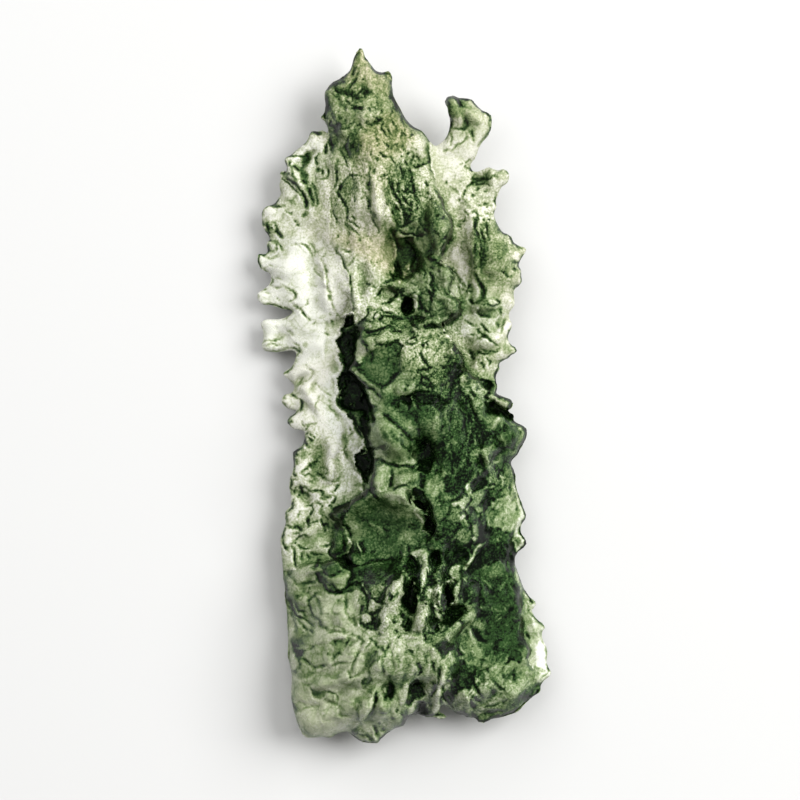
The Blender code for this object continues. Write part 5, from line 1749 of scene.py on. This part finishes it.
434,715 446,715; 402,709 403,716 403,724; 395,728 400,725 404,722; 406,697 406,699; 419,695 424,692; 391,677
394,683 393,691 391,697; 443,692 447,700 452,705
2.2/0.85 291,696 293,702 295,708 295,712; 363,679 365,682 369,679 372,677 370,672 369,668; 377,690 376,697;
377,688 376,694 374,702 371,709 368,714; 384,690 386,695; 351,731 355,737 361,740 364,741; 358,732 362,735
366,736; 366,733 370,737 374,740; 374,724 376,729 378,734 380,738; 408,646 411,647 411,650; 416,660 419,662
420,667 418,671; 431,658 433,662 434,666; 432,679 434,682 432,686; 409,703 411,699 416,695; 441,662 439,668
439,673; 446,668 447,674 446,680; 440,690 441,700 440,706; 457,669 460,670
1.5/-0.4 335,691 334,697; 347,666 348,673; 372,726 374,733 377,740; 366,739 370,741; 381,718 386,726; 412,642
414,646 413,650 411,655; 421,632 423,634 422,637; 433,644 437,648; 418,696 423,698 428,704 430,711; 440,684
442,680 445,681; 450,678 451,675 453,674 454,677; 446,694 451,700; 455,641 457,646 458,651
1.8/-0.55 417,674 420,680 424,688 427,694; 447,669 448,675 450,681; 445,683 444,688; 444,630 447,635
""")
TRUNK = Stretch(
    border=[],
    tones=spots("""
360,60,0.3 376,84,0.4 340,90,0.45 352,97,0.5 365,115,0.45 390,110,0.5 345,128,0.5 352,148,0.45 378,140,0.45
398,140,0.4 414,145,0.25 338,175,0.25 346,200,0.4 360,185,0.4 378,200,0.18 402,190,0.6 424,175,0.35
424,205,0.45 440,225,0.55 404,225,0.5 404,255,0.4 338,235,0.15 362,240,0.2 380,262,0.18 350,265,0.08
366,295,0.15 430,250,0.65 442,272,0.6 424,285,0.55 392,290,0.55 407,306,0.85 430,310,0.6 452,307,0.75
352,330,0.8 376,326,0.4 384,340,0.35 380,365,0.65 358,380,1 350,400,1 346,350,0.95 412,330,0.3 428,350,0.35
446,340,0.45 466,368,0.75 420,375,0.55 396,392,0.75 420,398,0.9 378,410,0.6 450,390,0.6 476,395,0.55
390,436,0.35 404,452,0.35 424,450,0.95 446,430,0.6 458,465,0.6 362,440,0.75 362,462,0.95 380,478,0.5
404,476,0.5 484,430,0.55 512,436,0.6 487,458,0.35 508,470,0.45 480,500,0.5 505,505,0.4 440,500,0.75
400,494,0.5 370,510,0.7 385,535,0.72 370,560,0.75 410,575,0.85 420,540,0.75 445,540,0.85 480,545,0.9
505,560,0.85 340,535,0.4 348,558,0.9 334,574,0.35 300,590,0.3 316,610,0.37 340,606,0.37 372,590,0.7
392,600,0.55 412,600,0.7 430,610,0.5 448,598,0.65 462,585,0.7 450,620,0.75 462,620,0.3 490,600,0.85
500,632,0.82 514,650,0.8 480,650,0.6 296,645,0.4 320,645,0.2 350,645,0.25 376,664,0.3 402,650,0.15
428,665,0.25 448,665,0.33 390,690,0.4 417,690,0.6 312,690,0.1 330,715,0.06 365,700,0.25 372,730,0.25
440,690,0.25 470,690,0.33 500,680,0.33 530,678,0.3 480,712,0.6 515,700,0.5
    """),
    reliefs=spots("""
362,80,0.15 370,130,0.15 380,200,0.1 345,200,0.05 420,180,0.2 430,250,0.15 370,270,0.08 400,260,0.2
376,330,0.2 425,345,0.2 383,366,0.05 350,390,0.2 420,390,0.15 390,438,0.08 450,440,0.08 490,420,0.2
505,440,0.12 490,500,0.2 385,535,0.05 440,520,0.15 480,550,0.1 500,632,0.08 420,600,0.2 450,600,0.2
310,600,0.15 330,650,0.2 402,655,0.1 430,665,0.15 320,720,0.08 370,700,0.2 490,690,0.25 480,712,0.1
    """),
    cell=13.0,
    lumpy=True,
    palest=0.15,
)
LEFT_WING = Stretch(
    border=path("""
329,134 331,158 333,182 330,215 330,244 340,255 345,268 350,281 351.5,300 353,316 346,317.5 344,325 340.5,335
334.5,341 338.5,350 342,361 343.5,369 337,378 338.5,391 336,403.5 341,410 351,419 356,431 364.5,438.5 365,446
355,455 357,467 363,478 364,491 354,498 346,508 331,513 337,520 347,528 352,541 348,553 334,558 320,562
306,567 293,569 262,575 240,575 240,120 329,120
    """),
    tones=spots("""
300,170,0.2 320,200,0.2 280,220,0.14 310,260,0.08 340,290,0.05 325,160,0.25 275,297,0.05 275,335,0.02
310,330,0.08 320,380,0.05 295,400,0.08 330,430,0.08 310,460,0.22 345,470,0.14 300,500,0.18 320,540,0.3
295,555,0.25
    """),
    reliefs=spots("""
300,180,0.2 300,270,0.06 310,340,0.08 300,400,0.12 320,470,0.15 310,540,0.15
    """),
    cell=11.0,
    lumpy=False,
    palest=0.02,
)
RIGHT_WING = Stretch(
    border=path("""
428,140 429,152 430,163 433,178 438.5,192 445,210 451,218 452.7,227 451,239 445,247.5 440.3,263 447,268
453,274 452.5,282 448,292.5 455,298 462,303 461,312 452,321 441.6,325.5 446,336 455,345 462,356 465,368
470,374.5 476,377.5 484,380 492,382 512,384 560,384 560,80 432,80 430,120
    """),
    tones=spots("""
453,110,0.5 475,122,0.3 460,140,0.1 445,165,0.05 480,180,0.2 500,180,0.2 458,215,0.05 477,250,0.42
459,245,0.08 498,262,0.38 518,260,0.25 460,275,0.05 485,300,0.25 474,290,0.33 505,310,0.15 475,335,0.15
500,340,0.16 490,370,0.3
    """),
    reliefs=spots("""
460,130,0.12 485,190,0.2 460,230,0.06 490,260,0.15 480,320,0.12 490,360,0.12
    """),
    cell=11.0,
    lumpy=False,
    palest=0.02,
)
FLANGE = Stretch(
    border=path("""
514,556 513.5,567 517,578 518.6,590 520,612 521,630 526,641 530.7,651 527,658 531,666 538,673 542,681 552,690
575,690 575,556
    """),
    tones=spots("""
520,580,0.3 530,620,0.25 540,655,0 547,676,0.1
    """),
    reliefs=spots("""
530,620,0.08
    """),
    cell=7.0,
    lumpy=False,
    palest=0.0,
)
STRETCHES = [TRUNK, LEFT_WING, RIGHT_WING, FLANGE]
# how much warm brown residue is left
STAINS = spots("""
367,82,0.9 360,100,0.5 345,115,0.4 385,145,1 375,175,0.6 350,190,0.35 380,220,0.4 380,250,0.9 360,280,0.2
410,170,0.35 425,200,0.35 430,240,0.3 440,300,0.1 400,330,0.2 470,250,0.4 450,150,0.3 490,190,0.3 300,170,0.2
290,300,0.1 440,110,0.4 420,345,0.3 390,400,0 440,440,0 400,500,0 480,560,0 320,600,0.1 400,680,0.1 500,640,0
""")
# how grainy the skin is
GRAINS = spots("""
362,85,0.7 385,135,0.7 410,190,1 360,200,0.9 365,260,0.7 380,300,0.8 410,250,0.4 445,250,0.6 430,290,0.6
400,320,0.9 370,365,0.4 430,345,1 460,380,0.9 390,400,0.5 395,440,0.4 440,440,0.7 470,470,0.8 420,490,0.5
385,540,0.5 450,530,0.7 490,520,0.5 430,600,1 390,600,0.9 400,650,0.6 330,600,0.3 330,650,0.3 320,700,0.25
370,700,0.4 430,680,0.7 490,560,0.5 490,640,0.5 500,700,0.7 530,660,0.4 300,160,0.7 290,210,0.5 300,280,0.3
330,260,0.5 290,350,0.3 325,400,0.35 315,440,0.7 310,500,0.6 300,560,0.5 440,110,0.5 450,160,0.4 475,190,0.7
465,240,1 495,260,0.7 500,310,0.5 500,360,0.5 515,440,0.5
""")
FLOWS = [Flow(x, y, turn) for x, y, turn in spots("""
362,80,100 380,180,97 420,190,105 345,200,85 365,260,90 430,280,130 375,335,10 420,350,30 385,440,120
440,430,90 495,430,60 500,510,60 385,530,30 440,590,85 400,600,70 320,600,20 328,660,25 375,670,62 402,660,78
430,670,98 330,715,6 490,690,42 500,620,60 290,160,135 280,230,20 320,270,90 280,320,0 290,390,20 325,400,110
300,470,60 335,470,80 300,550,10 455,115,110 470,150,60 485,185,170 460,230,90 500,260,30 485,320,40
485,360,20
""")]


@dataclass(frozen=True)
class MattPaper:
    """White matt paper: it scatters the light evenly and has next to no gloss."""

    white: str = "#BDBDBC"
    roughness: float = 0.9
    shine: float = 0.1

    def material(self) -> bpy.types.Material:
        """Builds the paper.

        Returns:
            A material with plain values on the shader's own sockets.
        """
        paper = bpy.data.materials.new("matt_white_paper")
        paper.use_nodes = True
        shader = paper.node_tree.nodes["Principled BSDF"]
        shader.inputs["Base Color"].default_value = linear(self.white)
        shader.inputs["Roughness"].default_value = self.roughness
        shader.inputs["Specular IOR Level"].default_value = self.shine
        return paper


@dataclass(frozen=True)
class Softbox:
    """A square soft light that faces the stone, with its place and side in metres and its power in watts."""

    name: str
    place: tuple[float, float, float]
    side: float
    power: float

    def build(self) -> None:
        """Hangs the light, and keeps its square out of the glass's reflections."""
        light = bpy.data.lights.new(self.name, "AREA")
        light.size = self.side
        light.energy = self.power
        lamp = bpy.data.objects.new(self.name, light)
        lamp.location = self.place
        lamp.rotation_euler = (-Vector(self.place)).to_track_quat("-Z", "Y").to_euler()
        lamp.visible_glossy = False
        lamp.visible_transmission = False
        bpy.context.scene.collection.objects.link(lamp)


@dataclass
class Studio:
    """A pale table, soft light from the right and above, and the camera that looks straight down."""

    grid: PlanGrid = field(default_factory=PlanGrid)
    paper: MattPaper = field(default_factory=MattPaper)
    frame_steps: float = 800.0
    lens: float = 200.0
    rim_height: float = 2.3 * MM
    floor_size: float = 0.9
    floor_gap: float = 0.02 * MM
    key: Softbox = Softbox("key_softbox", (0.28, 0.11, 0.32), 0.3, 3.3)
    fill: Softbox = Softbox("fill_softbox", (-0.14, 0.24, 0.40), 0.5, 2.35)
    room_light: float = 0.25

    def build(self) -> None:
        """Builds the floor, the lights, the room and the camera."""
        self.floor()
        self.key.build()
        self.fill.build()
        self.room()
        self.camera()
        bpy.context.scene.view_settings.view_transform = "Standard"

    def floor(self) -> None:
        """Lays the table just under the stone."""
        sheet = bmesh.new()
        bmesh.ops.create_grid(sheet, x_segments=1, y_segments=1, size=self.floor_size / 2)
        bmesh.ops.translate(sheet, verts=sheet.verts[:], vec=(0.0, 0.0, -self.floor_gap))
        mesh = bpy.data.meshes.new("studio_table")
        sheet.to_mesh(mesh)
        sheet.free()
        mesh.materials.append(self.paper.material())
        table = bpy.data.objects.new("studio_table", mesh)
        bpy.context.scene.collection.objects.link(table)

    def room(self) -> None:
        """Fills the room with even white light."""
        world = bpy.data.worlds.new("studio_room")
        world.use_nodes = True
        sky = world.node_tree.nodes["Background"]
        sky.inputs["Color"].default_value = (1.0, 1.0, 1.0, 1.0)
        sky.inputs["Strength"].default_value = self.room_light
        bpy.context.scene.world = world

    def camera(self) -> None:
        """Hangs the camera over the middle of the view, at the height where the view is the plan's width."""
        lens = bpy.data.cameras.new("camera")
        lens.lens = self.lens
        width = self.frame_steps * self.grid.step
        height = self.rim_height + width * self.lens / lens.sensor_width
        x, y = self.grid.to_metres(self.frame_steps / 2, self.frame_steps / 2)
        eye = bpy.data.objects.new("camera", lens)
        eye.location = (x, y, height)
        bpy.context.scene.collection.objects.link(eye)
        bpy.context.scene.camera = eye


def main() -> None:
    """Builds the stone and the studio, and logs the stone's face count."""
    stone = Stone().build()
    log.info("%s: %d faces", stone.name, len(stone.data.polygons))
    Studio().build()
    log.info("studio: table, two softboxes, room light and camera")


if __name__ == "__main__":
    logging.basicConfig(level=logging.INFO)
    main()
